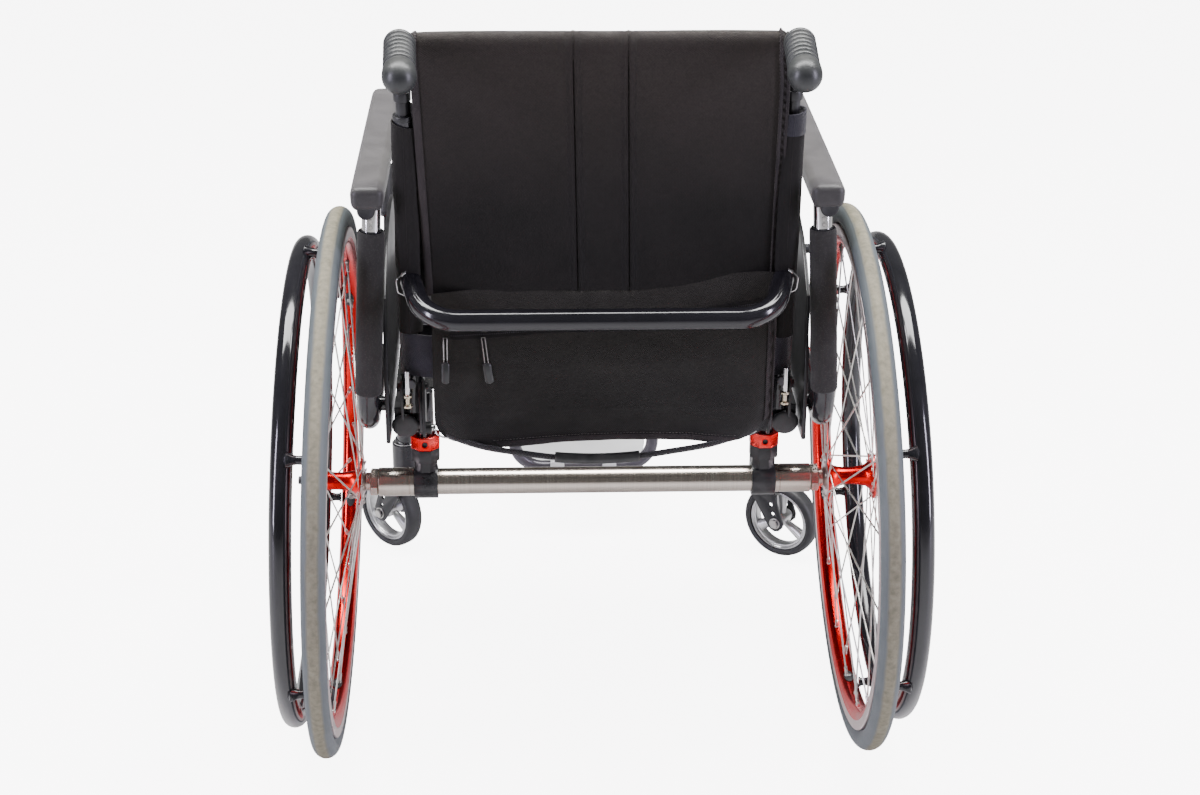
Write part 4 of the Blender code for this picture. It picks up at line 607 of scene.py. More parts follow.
# %% Brushed aluminium, its scratches running round the tube
def brushed_material():
    made, tree, shader = start_material("brushed_tube", metallic=1.0)
    spot = add(tree, "TexCoord").outputs["Object"]
    squeeze = add(tree, "Mapping", {"Vector": spot, "Scale": (1500.0, 14.0, 14.0)}).outputs[0]
    hairs = use(tree, "brushing", squeeze, Scale=1.0)
    bright = blend_colour(tree, hairs["Mask"], (0.52, 0.465, 0.40), (0.76, 0.70, 0.63))
    colour = blend_colour(tree, cloudy(tree, spot, 12.0, 0.25), bright, (0.64, 0.56, 0.49))
    roughness = spread(tree, hairs["Mask"], 0.0, 1.0, 0.17, 0.26)
    surface(tree, shader, colour, roughness, bump(tree, hairs["Height"], 0.00002, 0.7))
    return made


BRUSHED = brushed_material()


# %% Open-cell foam, and the moulded skin of the arm pads
def foam_material(name, dark, light, specks, cell, depth, rough):
    """A spongy surface: pits at the size of the cells, and pale specks where they are torn."""
    made, tree, shader = start_material(name, sheen=0.15, specular=0.35)
    spot = add(tree, "TexCoord").outputs["Object"]
    tone = cloudy(tree, spot, 35.0, 0.25)
    grain = use(tree, "grain", spot, Scale=cell)
    colour = blend_colour(tree, tone, dark, light)
    colour = blend_colour(tree, times(tree, grain["Specks"], 0.5), colour, specks)
    surface(tree, shader, colour, spread(tree, tone, 0.0, 1.0, *rough), bump(tree, grain["Height"], depth, 0.8))
    return made


FOAM = foam_material("foam_sleeve", (0.022, 0.021, 0.020), (0.040, 0.038, 0.036), (0.10, 0.095, 0.09),
                     700.0, 0.0005, (0.80, 0.92))
PAD_SKIN = foam_material("pad_skin", (0.066, 0.062, 0.061), (0.098, 0.093, 0.091), (0.17, 0.16, 0.155),
                         1500.0, 0.0001, (0.42, 0.56))
# The pad's rear end takes a darker copy of its skin: painted shade on the end that faces away from the light
# above.
PAD_SHADED_END = foam_material("pad_shaded_end", (0.034, 0.032, 0.032), (0.060, 0.057, 0.056), (0.13, 0.12, 0.12),
                         1500.0, 0.0001, (0.34, 0.46))

# %% Woven cloths: seven cloths from one recipe
LINT_COLOUR = (0.115, 0.105, 0.095)


def cloth(name, dark, light, pitch, twill, rough, dust=0.5, depth=0.0003, fuzz=0.25, dust_and_sheen=None):
    """A woven cloth. The optional paler colour, with the two heights between which it fades in, is partly dust
    and partly painted sheen: the cloth grows lighter upward, as if lit from above.
    """
    made, tree, shader = start_material(name, sheen=fuzz, specular=0.22)
    spot = add(tree, "TexCoord").outputs["Object"]
    flat = add(tree, "Attribute", attribute_name="flat").outputs["Vector"]
    threads = use(tree, "weave", flat, Pitch=pitch, Twill=twill)
    tone = cloudy(tree, spot, 18.0, 0.2)
    colour = blend_colour(tree, tone, dark, light)
    colour = blend_colour(tree, times(tree, threads["Mask"], 0.35), colour, light)
    # Painted sheen mixed with dust: a mottled paler colour fades in with height, so the upper part looks lit
    # from above.
    if dust_and_sheen:
        dust_and_sheen_colour, low, high = dust_and_sheen
        rise = spread(tree, part(tree, spot, "Z"), low, high)
        patches = spread(tree, cloudy(tree, spot, 7.0, 0.3), 0.0, 1.0, 0.45, 1.0)
        specks = spread(tree, cloudy(tree, spot, 420.0, 0.2), 0.0, 1.0, 0.55, 1.0)
        mixed = times(tree, patches, specks)
        colour = blend_colour(tree, times(tree, rise, mixed), colour, dust_and_sheen_colour)
    lint = spread(tree, cloudy(tree, spot, 55.0, 0.12), 0.0, 1.0, 0.45, 1.0)
    worn = times(tree, use(tree, "dust", spot, Amount=dust)["Mask"], lint)
    soft = bump(tree, cloudy(tree, spot, 70.0, 0.3), 0.0006, 0.5)
    surface(tree, shader, blend_colour(tree, worn, colour, LINT_COLOUR),
          spread(tree, tone, 0.0, 1.0, *rough), bump(tree, threads["Height"], depth, 0.6, soft))
    return made


# The back cloth and the pocket twill grow paler toward their tops: partly dust, partly painted sheen of the
# light from above.
BACK_CLOTH = cloth("back_cloth", (0.005, 0.0045, 0.004), (0.014, 0.012, 0.011), 0.0016, 0.0, (0.56, 0.70),
                   dust=0.55, fuzz=0.08, dust_and_sheen=((0.050, 0.040, 0.034), 0.620, 0.800))
POCKET_TWILL = cloth("pocket_twill", (0.007, 0.007, 0.0065), (0.020, 0.019, 0.017), 0.0022, 1.0, (0.62, 0.76),
                     dust=0.6, fuzz=0.10, depth=0.0005, dust_and_sheen=((0.040, 0.037, 0.030), 0.380, 0.520))
SLEEVE_CLOTH = cloth("sleeve_cloth", (0.008, 0.0075, 0.007), (0.020, 0.018, 0.017), 0.0012, 0.0, (0.70, 0.84),
                     dust=0.3, fuzz=0.08)
TRIM_TAPE = cloth("trim_tape", (0.020, 0.017, 0.018), (0.048, 0.041, 0.040), 0.0024, 0.0, (0.62, 0.76),
                  depth=0.0006, fuzz=0.1)
SLING_CLOTH = cloth("sling_cloth", (0.010, 0.010, 0.011), (0.022, 0.022, 0.023), 0.0014, 0.0, (0.80, 0.92),
                    dust=0.10, fuzz=0.10)
HOOK_BAND = cloth("hook_band", (0.012, 0.011, 0.016), (0.030, 0.028, 0.040), 0.0010, 0.0, (0.60, 0.76),
                  depth=0.0005, fuzz=0.6)
THREAD = cloth("stitch_thread", (0.070, 0.063, 0.058), (0.130, 0.118, 0.108), 0.0006, 1.0, (0.60, 0.70),
               dust=0.2)


# %% Braided cord: two sets of strands that cross round it
def braid_material():
    made, tree, shader = start_material("braided_cord", sheen=0.4)
    local = add(tree, "Attribute", attribute_name="local").outputs["Vector"]
    turn = times(tree, maths(tree, "ARCTAN2", part(tree, local, "Y"), part(tree, local, "X")), 8.0)
    along = times(tree, part(tree, local, "Z"), math.tau / 0.0032)
    one = maths(tree, "SINE", maths(tree, "ADD", turn, along))
    other = maths(tree, "SINE", maths(tree, "SUBTRACT", turn, along))
    strands = maths(tree, "MAXIMUM", one, other)
    mask = spread(tree, strands, -0.6, 1.0)
    surface(tree, shader, blend_colour(tree, mask, (0.006, 0.006, 0.006), (0.045, 0.043, 0.042)), 0.7,
          bump(tree, strands, 0.0005, 0.9))
    return made


BRAID = braid_material()
print("materials", len(bpy.data.materials))


# %% [markdown]
# ## The release cord
#
# One pull on this cord opens both latches of the folding back. It is a limp braided cord, knotted
# through the two pull rings, with a smooth rubber grip in its middle. It sags a little between
# the rings. Its line is the CAD's own: a few points, made smooth.

# %% The line of the cord
RAIL_REAR_Z = 0.370
CANE_X = 0.1915
CANE_RADIUS = 0.0095
PLUNGER_Y = 0.045
PLUNGER_Z = RAIL_REAR_Z + 0.008
PLUNGER_INNER_X = CANE_X - CANE_RADIUS - 0.0018
RING_RADIUS = 0.0105
RING_WIRE = 0.0012
CORD_RADIUS = 0.0032
CORD_GRIP_RADIUS = 0.0056
CORD_GRIP_LENGTH = 0.090


def ring_centre(side):
    """Centre of a pull ring, hung through its plunger's inner end."""
    return at(side * (PLUNGER_INNER_X - 0.0090 - RING_RADIUS), PLUNGER_Y, PLUNGER_Z - 0.003)


def cord_end(side):
    """The cord's end: knotted in front of its ring, through it and round to the rear."""
    inboard = RING_RADIUS - RING_WIRE - CORD_RADIUS - 0.0003
    through = ring_centre(side) - Vector((side * inboard, 0.0, 0.0))
    steps = ((0.0, -0.0080, 0.0024), (0.0, 0.0010, -0.0003), (-0.0040, 0.0090, -0.0035))
    return [through + Vector((side * x, y, z)) for x, y, z in steps]


def smooth(points, spacing):
    """A smooth curve through the points, read at an even spacing."""
    dense = []
    padded = [points[0] * 2.0 - points[1]] + points + [points[-1] * 2.0 - points[-2]]
    for a, b, c, d in zip(padded, padded[1:], padded[2:], padded[3:]):
        for i in range(24):
            t = i / 24.0
            bend = (2.0 * a - 5.0 * b + 4.0 * c - d) * t ** 2
            twist = (3.0 * b - a - 3.0 * c + d) * t ** 3
            dense.append((2.0 * b + (c - a) * t + bend + twist) * 0.5)
    dense.append(points[-1])
    total = sum((q - p).length for p, q in zip(dense, dense[1:]))
    count = max(2, round(total / spacing))
    even = [dense[0]]
    walked = 0.0
    for p, q in zip(dense, dense[1:]):
        step = (q - p).length
        while len(even) < count and walked + step >= total * len(even) / count:
            even.append(p.lerp(q, (total * len(even) / count - walked) / step))
        walked += step
    return even + [dense[-1]]


CORD_MIDDLE = [
    at(-0.118, 0.0660, PLUNGER_Z - 0.0125),
    at(-0.075, 0.0710, PLUNGER_Z - 0.0180),
    at(-0.040, 0.0740, PLUNGER_Z - 0.0218),
    at(0.0, 0.0750, PLUNGER_Z - 0.0235),
    at(0.040, 0.0740, PLUNGER_Z - 0.0222),
    at(0.075, 0.0710, PLUNGER_Z - 0.0188),
    at(0.118, 0.0660, PLUNGER_Z - 0.0132),
]
cord_line = smooth(cord_end(-1.0) + CORD_MIDDLE + list(reversed(cord_end(1.0))), 0.0015)

# %% Bend the cord and its grip
cord = tube("release_cord", cord_line, CORD_RADIUS, resolution=4)
fit(cord, "frame", "braided_cord", BRAID, replaces=["release_cord"])

grip_line = [p for p in cord_line if abs(p.x) <= CORD_GRIP_LENGTH / 2.0]
cord_grip = tube("cord_grip", grip_line, CORD_GRIP_RADIUS, resolution=6)
edit(cord_grip)
bpy.ops.mesh.select_all(action="DESELECT")
done()
for face in cord_grip.data.polygons:
    face.select = len(face.vertices) > 4
pick(cord_grip)
bpy.ops.object.mode_set(mode="EDIT")
bpy.ops.mesh.inset(thickness=0.0016, depth=0.0010)
done()
shade(40.0)
fit(cord_grip, "frame", "rubber_black", GRIP_RUBBER, replaces=["cord_sleeve"])
print("cord faces", len(cord.data.polygons))


# %% [markdown]
# ## Rear wheels
#
# A rear wheel is a stack of turned pieces on one axle, so nearly all of it comes off the lathe.
# The wheel leans in by its camber, which is why every piece is turned flat and then placed by one
# matrix. Each section is drawn with the small shapes the eye looks for: tread ribs, the rim's
# brake track, the waist of the hub. The spokes are real wires that cross three others.

# %% Wheel sizes and the wheel's own place
WHEEL_RADIUS = 0.296
TYRE_RADIUS = 0.0121
TYRE_SHOWN = 0.93
RIM_OUTER = WHEEL_RADIUS - TYRE_SHOWN * 2.0 * TYRE_RADIUS
RIM_INNER = RIM_OUTER - 0.0205
RIM_HALF = 0.0115
CAMBER = math.radians(2.0)
WHEEL_X = 0.280
AXLE_Z = (WHEEL_RADIUS - TYRE_RADIUS) * math.cos(CAMBER) + TYRE_RADIUS
HANDRIM_TUBE = 0.0112
HANDRIM_OFFSET = 0.0342
STUD_RADIUS = RIM_INNER + 0.0075
STUDS = 6
SPOKES_PER_FLANGE = 18
FLANGES = (0.0220, -0.0282)
FLANGE_RADIUS = 0.0260
SPOKE_HOLES = 0.0220
SPOKE_RADIUS = 0.0010
SPOKE_CROSSING = math.radians(60.0)


def wheel_frame(side):
    """The wheel's frame, with Z along its axle, pointing outboard."""
    return axes(at(side * WHEEL_X, 0.0, AXLE_Z), (side * math.cos(CAMBER), 0.0, math.sin(CAMBER)))


def spun(angle):
    return Matrix.Rotation(angle, 4, "Z")


def round_axle(section_name, name, side, section, steps=64, angle=35.0):
    """A turned piece of the wheel, or of what sits on its axle."""
    return turned(section_name + name, section, wheel_frame(side), steps, angle)


# %% Tyre: a round casing with three fine ribs beside the tread
TYRE_POINTS = 72
RIBS = 3.0
RIB_DEPTH = 0.00022
RIBS_FROM, RIBS_TO = 22.0, 40.0


def tyre(name, side):
    middle = WHEEL_RADIUS - TYRE_RADIUS
    half = math.acos((RIM_OUTER - middle) / TYRE_RADIUS)
    section = []
    for i in range(TYRE_POINTS + 1):
        a = half - 2.0 * half * i / TYRE_POINTS
        degrees = abs(math.degrees(a))
        rib = 0.0
        if RIBS_FROM < degrees < RIBS_TO:
            rib = math.sin((degrees - RIBS_FROM) / (RIBS_TO - RIBS_FROM) * math.pi * RIBS)
        radius = TYRE_RADIUS - RIB_DEPTH * max(0.0, rib)
        section.append((middle + radius * math.cos(a), radius * math.sin(a)))
    made = round_axle("tyre_casing_", name, side, section, 128, 50.0)
    fit(made, "wheel_" + name, "tyre_grey", TYRE_RUBBER, replaces=["tyre_" + name])


# %% Rim: pale machined side walls and a deep anodised well
def rim(name, side):
    section = mirrored([
        (RIM_OUTER - 0.0002, 0.0080), (RIM_OUTER + 0.0006, 0.0093), (RIM_OUTER + 0.0004, 0.0109),
        (RIM_OUTER - 0.0006, RIM_HALF), (RIM_OUTER - 0.0100, RIM_HALF - 0.0002),
        (RIM_OUTER - 0.0108, RIM_HALF - 0.0006), (RIM_INNER + 0.0066, RIM_HALF - 0.0012),
        (RIM_INNER + 0.0042, RIM_HALF - 0.0022), (RIM_INNER + 0.0020, 0.0076),
        (RIM_INNER + 0.0006, 0.0056), (RIM_INNER, 0.0028)])
    made = round_axle("rim_extrusion_", name, side, section, 128, 28.0)
    fit(made, "wheel_" + name, "anodised_red", RED_ANODISED, RIM_SIDE, replaces=["rim_" + name])
    inverse = wheel_frame(side).inverted()
    paint_faces(made, 1, lambda centre, normal: (inverse @ centre).xy.length > RIM_OUTER - 0.0098)


# %% One spoke with its elbow and nipple, copied round the flange
def spoke(flange, angle, sign):
    rim_angle = angle + sign * SPOKE_CROSSING
    rim_spot = RIM_INNER - 0.0009
    out = 1.0 if flange > 0.0 else -1.0
    hole = Vector((SPOKE_HOLES * math.cos(angle), SPOKE_HOLES * math.sin(angle), flange))
    head = hole - Vector((0.0, 0.0, sign * 0.0034))
    elbow = [hole - Vector((0.0, 0.0, sign * 0.0005)), hole + Vector((0.0, 0.0, sign * 0.0018))]
    end = Vector((rim_spot * math.cos(rim_angle), rim_spot * math.sin(rim_angle), out * 0.002))
    wire = tube("spoke", [head] + elbow + [end], SPOKE_RADIUS, resolution=2)
    section = [(0.0, 0.0010), (0.0019, 0.0004), (0.0019, -0.0004), (0.0, -0.0008)]
    button = turned("head", section, axes(head, Z), 12)
    section = [(0.0, 0.0010), (0.0024, 0.0010), (0.0024, -0.0016), (0.0018, -0.0024),
               (0.0018, -0.0120), (0.0, -0.0126)]
    nipple = turned("nipple", section, axes(end, (end - elbow[1]).normalized()), 12)
    return join("spoke", wire, button, nipple)


def spokes(name, side):
    pitch = math.tau / SPOKES_PER_FLANGE
    turns = [wheel_frame(side) @ spun(2.0 * pitch * j) for j in range(SPOKES_PER_FLANGE // 2)]
    sets = []
    for flange, shift in ((FLANGES[0], 0.0), (FLANGES[1], 0.5 * pitch)):
        for i, sign in ((0, 1.0), (1, -1.0)):
            sets.append(copies("spokes", spoke(flange, shift + i * pitch, sign), turns))
    fit(join("spokes_" + name, *sets), "wheel_" + name, "brushed_aluminium", STAINLESS)


# %% Hub shell: a waist between two flanges, and a flared outer end
def hub(name, side):
    out, inn = FLANGES
    section = [
        (0.0068, 0.0300), (0.0118, 0.0300), (0.0126, 0.0290), (0.0126, out + 0.0044), (0.0136, out + 0.0032),
        (0.0250, out + 0.0016), (FLANGE_RADIUS, out + 0.0008), (FLANGE_RADIUS, out - 0.0010),
        (0.0250, out - 0.0018), (0.0185, out - 0.0024), (0.0150, out - 0.0042), (0.0120, out - 0.0085),
        (0.0104, out - 0.0140), (0.0097, out - 0.0200), (0.0095, 0.0),
        (0.0097, inn + 0.0200), (0.0104, inn + 0.0140), (0.0120, inn + 0.0085), (0.0150, inn + 0.0042),
        (0.0185, inn + 0.0024), (0.0250, inn + 0.0018),
        (FLANGE_RADIUS, inn + 0.0010), (FLANGE_RADIUS, inn - 0.0008), (0.0250, inn - 0.0018),
        (0.0142, inn - 0.0026), (0.0124, inn - 0.0034), (0.0115, -0.0322), (0.0068, -0.0322),
    ]
    made = round_axle("hub_shell_", name, side, section, 64, 30.0)
    fit(made, "wheel_" + name, "anodised_red", RED_ANODISED, RIM_SIDE, replaces=["hub_" + name])
    inverse = wheel_frame(side).inverted()
    paint_faces(made, 1, lambda centre, normal: (inverse @ centre).z < inn - 0.0009)


# %% Handrim on six waisted studs, each bolted through a saddle on the rim
SADDLE_RADIUS = 0.0085
SADDLE_SHAPE = (1.0, 1.35, 0.62)


def stud_places(side):
    return [wheel_frame(side) @ spun(math.tau * (i + 0.5) / STUDS) for i in range(STUDS)]


def handrim(name, side):
    ring = new(bpy.ops.mesh.primitive_torus_add, major_segments=128, minor_segments=24,
               major_radius=RIM_INNER, minor_radius=HANDRIM_TUBE)
    bpy.ops.object.shade_smooth()
    ring = place(ring, wheel_frame(side) @ Matrix.Translation((0.0, 0.0, HANDRIM_OFFSET)))
    section = [(0.0, HANDRIM_OFFSET), (0.0085, HANDRIM_OFFSET - 0.0050), (0.0072, HANDRIM_OFFSET - 0.0082),
               (0.0052, HANDRIM_OFFSET - 0.0118), (0.0044, 0.0186), (0.0046, 0.0140), (0.0058, 0.0134),
               (0.0058, 0.0118), (0.0, 0.0118)]
    stud = turned("stud", section, Matrix.Translation((STUD_RADIUS, 0.0, 0.0)), 24)
    made = join("push_ring_" + name, ring, copies("studs", stud, stud_places(side)))
    fit(made, "wheel_" + name, "frame_black", GLOSS_BLACK, replaces=["handrim_" + name])


def saddles(name, side):
    """The black strips that sit on the rim's inner face behind the studs, with their bolts."""
    strip = new(bpy.ops.mesh.primitive_cylinder_add, "saddle", vertices=32, radius=SADDLE_RADIUS, depth=0.0014,
                location=(RIM_INNER - 0.0006, 0.0, 0.0), rotation=(0.0, math.pi / 2.0, 0.0))
    bpy.ops.object.transform_apply(location=True, rotation=True, scale=True)
    edit(strip)
    bpy.ops.transform.resize(value=SADDLE_SHAPE, center_override=(RIM_INNER, 0.0, 0.0))
    bpy.ops.mesh.bevel(offset=0.0004, segments=2, affect="EDGES")
    done()
    shade(35.0)
    strip.data.materials.append(MOULDED_BLACK)
    inward = axes((RIM_INNER - 0.0010, 0.0, 0.0), (-1.0, 0.0, 0.0))
    bolt = turned("bolt", capped(0.0030, -0.001, 0.0024, 0.0006), inward, 24)
    bolt.data.materials.append(STEEL)
    made = copies("rim_saddles_" + name, join("saddle", strip, bolt), stud_places(side))
    fit(made, "wheel_" + name, "satin_black")


# %% Valve, quick-release axle and its button
VALVE_TURN = math.radians(-72.0)


def valve(name, side):
    """The tube's valve with its cap, which stands through the rim."""
    inward = spun(VALVE_TURN) @ axes((RIM_INNER + 0.0004, 0.0, 0.0), (-1.0, 0.0, 0.0))
    section = [(0.0, 0.0250), (0.0026, 0.0248), (0.0030, 0.0236), (0.0030, 0.0150), (0.0024, 0.0146),
               (0.0024, 0.0030), (0.0042, 0.0026), (0.0042, 0.0), (0.0, 0.0)]
    made = turned("valve_" + name, section, wheel_frame(side) @ inward, 20)
    fit(made, "wheel_" + name, "rubber_black", BLACK_RUBBER)


def quick_axle(name, side):
    section = [(0.0, 0.0244), (0.0050, 0.0244), (0.0050, 0.0353), (0.0098, 0.0353), (0.0110, 0.0343),
               (0.0110, 0.0309), (0.0104, 0.0303), (0.00635, 0.0303), (0.00635, -0.0790),
               (0.0052, -0.0815), (0.0, -0.0815)]
    shaft = round_axle("axle_shaft_", name, side, section, 40, 30.0)
    fit(shaft, "axle_" + name, "chrome", CHROME, replaces=["quick_axle_" + name])
    button = round_axle("push_button_", name, side, capped(0.0045, 0.0290, 0.0400, 0.0012), 32, 40.0)
    fit(button, "button_" + name, "satin_black", MOULDED_BLACK, replaces=["axle_button_" + name])


both_sides(tyre, rim, spokes, hub, handrim, saddles, valve, quick_axle)


# %% [markdown]
# ## Camber tube, axle receivers and clamps
#
# The camber tube ties both wheels together. It is a brushed alloy tube. A sleeve in each end
# carries a nut that is turned to the camber angle, and the wheel's axle plugs into it. A clamp on
# the tube holds an eight-sided collar, and the frame's stem stands in that collar under a red nut.

# %% Tube and receivers
SLEEVE_OUTER_X = 0.2334
SLEEVE_RADIUS = 0.0155
CAMBER_TUBE_Z = AXLE_Z - (WHEEL_X - SLEEVE_OUTER_X) * math.tan(CAMBER)
CAMBER_TUBE_RADIUS = 0.0143
CLAMP_X = 0.182
CLAMP_OUTER_X = CLAMP_X + 0.0125


def along_x(x, side, z=CAMBER_TUBE_Z, y=0.0):
    return axes(at(side * x, y, z), (side, 0.0, 0.0))


def pipe(radius, wall, low, high, rim=0.0005):
    """The section of an open tube with eased rims, closed on itself."""
    inner = radius - wall
    return [(radius - rim, high), (radius, high - rim), (radius, low + rim), (radius - rim, low),
            (inner + rim, low), (inner, low + rim), (inner, high - rim), (inner + rim, high),
            (radius - rim, high)]


section = pipe(CAMBER_TUBE_RADIUS, 0.0025, -CLAMP_OUTER_X, CLAMP_OUTER_X)
camber_bar = turned("camber_bar", section, along_x(0.0, 1.0), 64)
fit(camber_bar, "frame", "brushed_aluminium", BRUSHED, replaces=["camber_tube"])


def axle_receiver(name, side):
    low = CLAMP_OUTER_X + 0.0003
    section = [(0.0, SLEEVE_OUTER_X), (0.0148, SLEEVE_OUTER_X), (SLEEVE_RADIUS, SLEEVE_OUTER_X - 0.0007),
               (SLEEVE_RADIUS, low + 0.0056), (0.0150, low + 0.0052), (0.0150, low + 0.0046),
               (SLEEVE_RADIUS, low + 0.0042), (SLEEVE_RADIUS, low + 0.0004), (0.0151, low), (0.0, low)]
    sleeve = turned("sleeve", section, along_x(0.0, side), 64)
    start = (SLEEVE_OUTER_X - WHEEL_X) / math.cos(CAMBER)
    section = [(0.0, start + 0.0090), (0.0130, start + 0.0090), (0.0155, start + 0.0078),
               (0.0155, start + 0.0012), (0.0132, start), (0.0, start)]
    nut = turned("nut", section, wheel_frame(side), 8, 20.0)
    section = [(0.0, -0.0325), (0.0094, -0.0325), (0.0100, -0.0331), (0.0100, start + 0.0060),
               (0.0, start + 0.0060)]
    bush = turned("bush", section, wheel_frame(side), 48)
    made = join("receiver_" + name, sleeve, nut, bush)
    fit(made, "frame", "brushed_aluminium", BRUSHED, replaces=["axle_receiver_" + name])


CLAMP_SCREWS = (-0.0072, 0.0072)
KEY_HOLE = 0.0036


def clamp(name, side):
    body = refined("stem_clamp_" + name, "axle_clamp_" + name, 0.0006)
    fit(body, "frame", "satin_black", SATIN_BLACK, replaces=["axle_clamp_" + name])
    screws = []
    for shift in CLAMP_SCREWS:
        seat = at(side * (CLAMP_X + shift), -CAMBER_TUBE_RADIUS - 0.0032, CAMBER_TUBE_Z + 0.004)
        screws.append(turned("screw", capped(0.0030, -0.001, 0.0022, 0.0006), axes(seat, (0.0, -1.0, 0.1)), 20))
    fit(join("clamp_screws_" + name, *screws), "frame", "chrome", STEEL)
    nut = refined("lock_nut_" + name, "stem_nut_" + name, 0.0007)
    low, high = (Vector(corner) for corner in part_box("stem_nut_" + name))
    middle = (low + high) / 2.0
    fit(nut, "frame", "anodised_red", RED_ANODISED, SATIN_BLACK, replaces=["stem_nut_" + name])
    # The key hole's walls take the black finish instead of red: painted shade inside the hole.
    paint_faces(nut, 1, lambda c, n: abs(c.x - middle.x) < KEY_HOLE and abs(c.z - middle.z) < KEY_HOLE
                and c.y > middle.y and (n.y < 0.5 or c.y < high.y - 0.0015))


both_sides(axle_receiver, clamp)
print("camber tube height", round(CAMBER_TUBE_Z, 4))


# %% [markdown]
# ## Side frames
#
# Each side frame is one bent tube: seat rail, knee and leg. The strut to the caster housing, the
# stem and the brake's pivot are welded to it, and the whole is painted gloss black. A bead runs
# round each weld. The plastic plug closes the rail behind.

# %% Places on the side frame
FRAME_TUBE = 0.0127
STRUT_TUBE = 0.0110
RAIL_X = 0.2015
RAIL_REAR_Y = 0.020
RAIL_FRONT_Y = -0.415
RAIL_FRONT_Z = RAIL_REAR_Z + 0.067
RAIL_SLOPE = (RAIL_FRONT_Z - RAIL_REAR_Z) / (RAIL_REAR_Y - RAIL_FRONT_Y)
LEG_X = 0.0897
LEG_BEND = (-0.443, 0.235)
LEG_END = (-0.452, 0.160)
STRUT_TOP_Y = -0.335
CASTER_X = 0.229
CASTER_Y = -0.405
HOUSING_RADIUS = 0.0165
HOUSING_BOTTOM_Z = 0.1150
HOUSING_TOP_Z = 0.1560
LOCK_Y = -0.325
LOCK_X = 0.2370
LOCK_PLATE = 0.0045
LOCK_DROP = 0.005
BEAD_WIRE = 0.0018


def rail_z(y):
    return RAIL_REAR_Z + (RAIL_REAR_Y - y) * RAIL_SLOPE


RAIL_AXIS = Vector((0.0, 1.0, -RAIL_SLOPE)).normalized()


def frame_corners(side):
    return [at(side * RAIL_X, RAIL_REAR_Y, RAIL_REAR_Z), at(side * RAIL_X, RAIL_FRONT_Y, RAIL_FRONT_Z),
            at(side * LEG_X, *LEG_BEND), at(side * LEG_X, *LEG_END)]


def bead(centre, axis, radius):
    """A weld's bead: a thin uneven ring."""
    made = new(bpy.ops.mesh.primitive_torus_add, major_segments=72, minor_segments=8,
               major_radius=radius, minor_radius=BEAD_WIRE)
    for vertex in made.data.vertices:
        vertex.co *= 1.0 + 0.025 * math.sin(24.0 * math.atan2(vertex.co.y, vertex.co.x))
    bpy.ops.object.shade_smooth()
    return place(made, axes(centre, axis, X))


# %% Bend, turn and weld them
def side_frame(name, side):
    main = tube("rail", rounded_path(frame_corners(side), [0.070, 0.060]), FRAME_TUBE)
    top = at(side * RAIL_X, STRUT_TOP_Y, rail_z(STRUT_TOP_Y))
    foot = at(side * CASTER_X, CASTER_Y, HOUSING_TOP_Z - 0.004)
    strut = tube("strut", [top, foot], STRUT_TUBE)
    section = [(0.0, HOUSING_TOP_Z + 0.006), (0.0098, HOUSING_TOP_Z + 0.006), (0.0112, HOUSING_TOP_Z + 0.0050),
               (0.0122, HOUSING_TOP_Z + 0.0004), (HOUSING_RADIUS - 0.001, HOUSING_TOP_Z),
               (HOUSING_RADIUS, HOUSING_TOP_Z - 0.001), (HOUSING_RADIUS, HOUSING_BOTTOM_Z + 0.001),
               (HOUSING_RADIUS - 0.001, HOUSING_BOTTOM_Z), (0.0, HOUSING_BOTTOM_Z)]
    housing = turned("housing", section, Matrix.Translation(at(side * CASTER_X, CASTER_Y, 0.0)), 48)
    section = capped(0.0095, CAMBER_TUBE_Z + 0.0221, RAIL_REAR_Z + 0.032, 0.0012)
    stem = turned("stem", section, Matrix.Translation(at(side * CLAMP_X, 0.0, 0.0)), 48)
    near = LOCK_X - 0.0003
    far = LOCK_X + LOCK_PLATE + 0.0003
    section = [(0.0, far + 0.002), (0.0062, far + 0.002), (0.0072, far + 0.0012), (0.0072, far),
               (0.0040, far), (0.0040, near), (0.0082, near), (0.0082, RAIL_X + 0.0076),
               (0.0, RAIL_X + 0.0076)]
    lock = turned("lock", section, along_x(0.0, side, rail_z(LOCK_Y) - LOCK_DROP, LOCK_Y), 32)
    down = (foot - top).normalized()
    beads = [bead(top + down * 0.0150, down, 0.0112), bead(foot - down * 0.0085, down, 0.0112),
             bead(at(side * CLAMP_X, 0.0, RAIL_REAR_Z - 0.012), Z, 0.0098)]
    made = join("side_tubes_" + name, main, strut, housing, stem, lock, *beads)
    fit(made, "frame", "frame_black", GLOSS_BLACK, replaces=["side_frame_" + name])
    top_of_housing = Matrix.Translation(at(side * CASTER_X, CASTER_Y, HOUSING_TOP_Z - 0.0002))
    washer = turned("headset_ring_" + name, pipe(0.0150, 0.0040, 0.0, 0.0016), top_of_housing, 40)
    fit(washer, "frame", "chrome", CHROME)


def rail_plug(name, side):
    section = [(0.0, 0.0046), (0.0060, 0.0045), (0.0102, 0.0041), (0.0126, 0.0034), (0.0139, 0.0024),
               (0.0142, 0.0016), (0.0142, 0.0006), (0.0138, 0.0003), (0.0104, 0.0003), (0.0104, -0.0150),
               (0.0, -0.0150)]
    rear = at(side * RAIL_X, RAIL_REAR_Y, RAIL_REAR_Z)
    made = turned("end_plug_" + name, section, axes(rear, RAIL_AXIS, X), 64, 40.0)
    fit(made, "frame", "plug_grey", PLUG_PLASTIC, replaces=["rail_plug_" + name])


both_sides(side_frame, rail_plug)

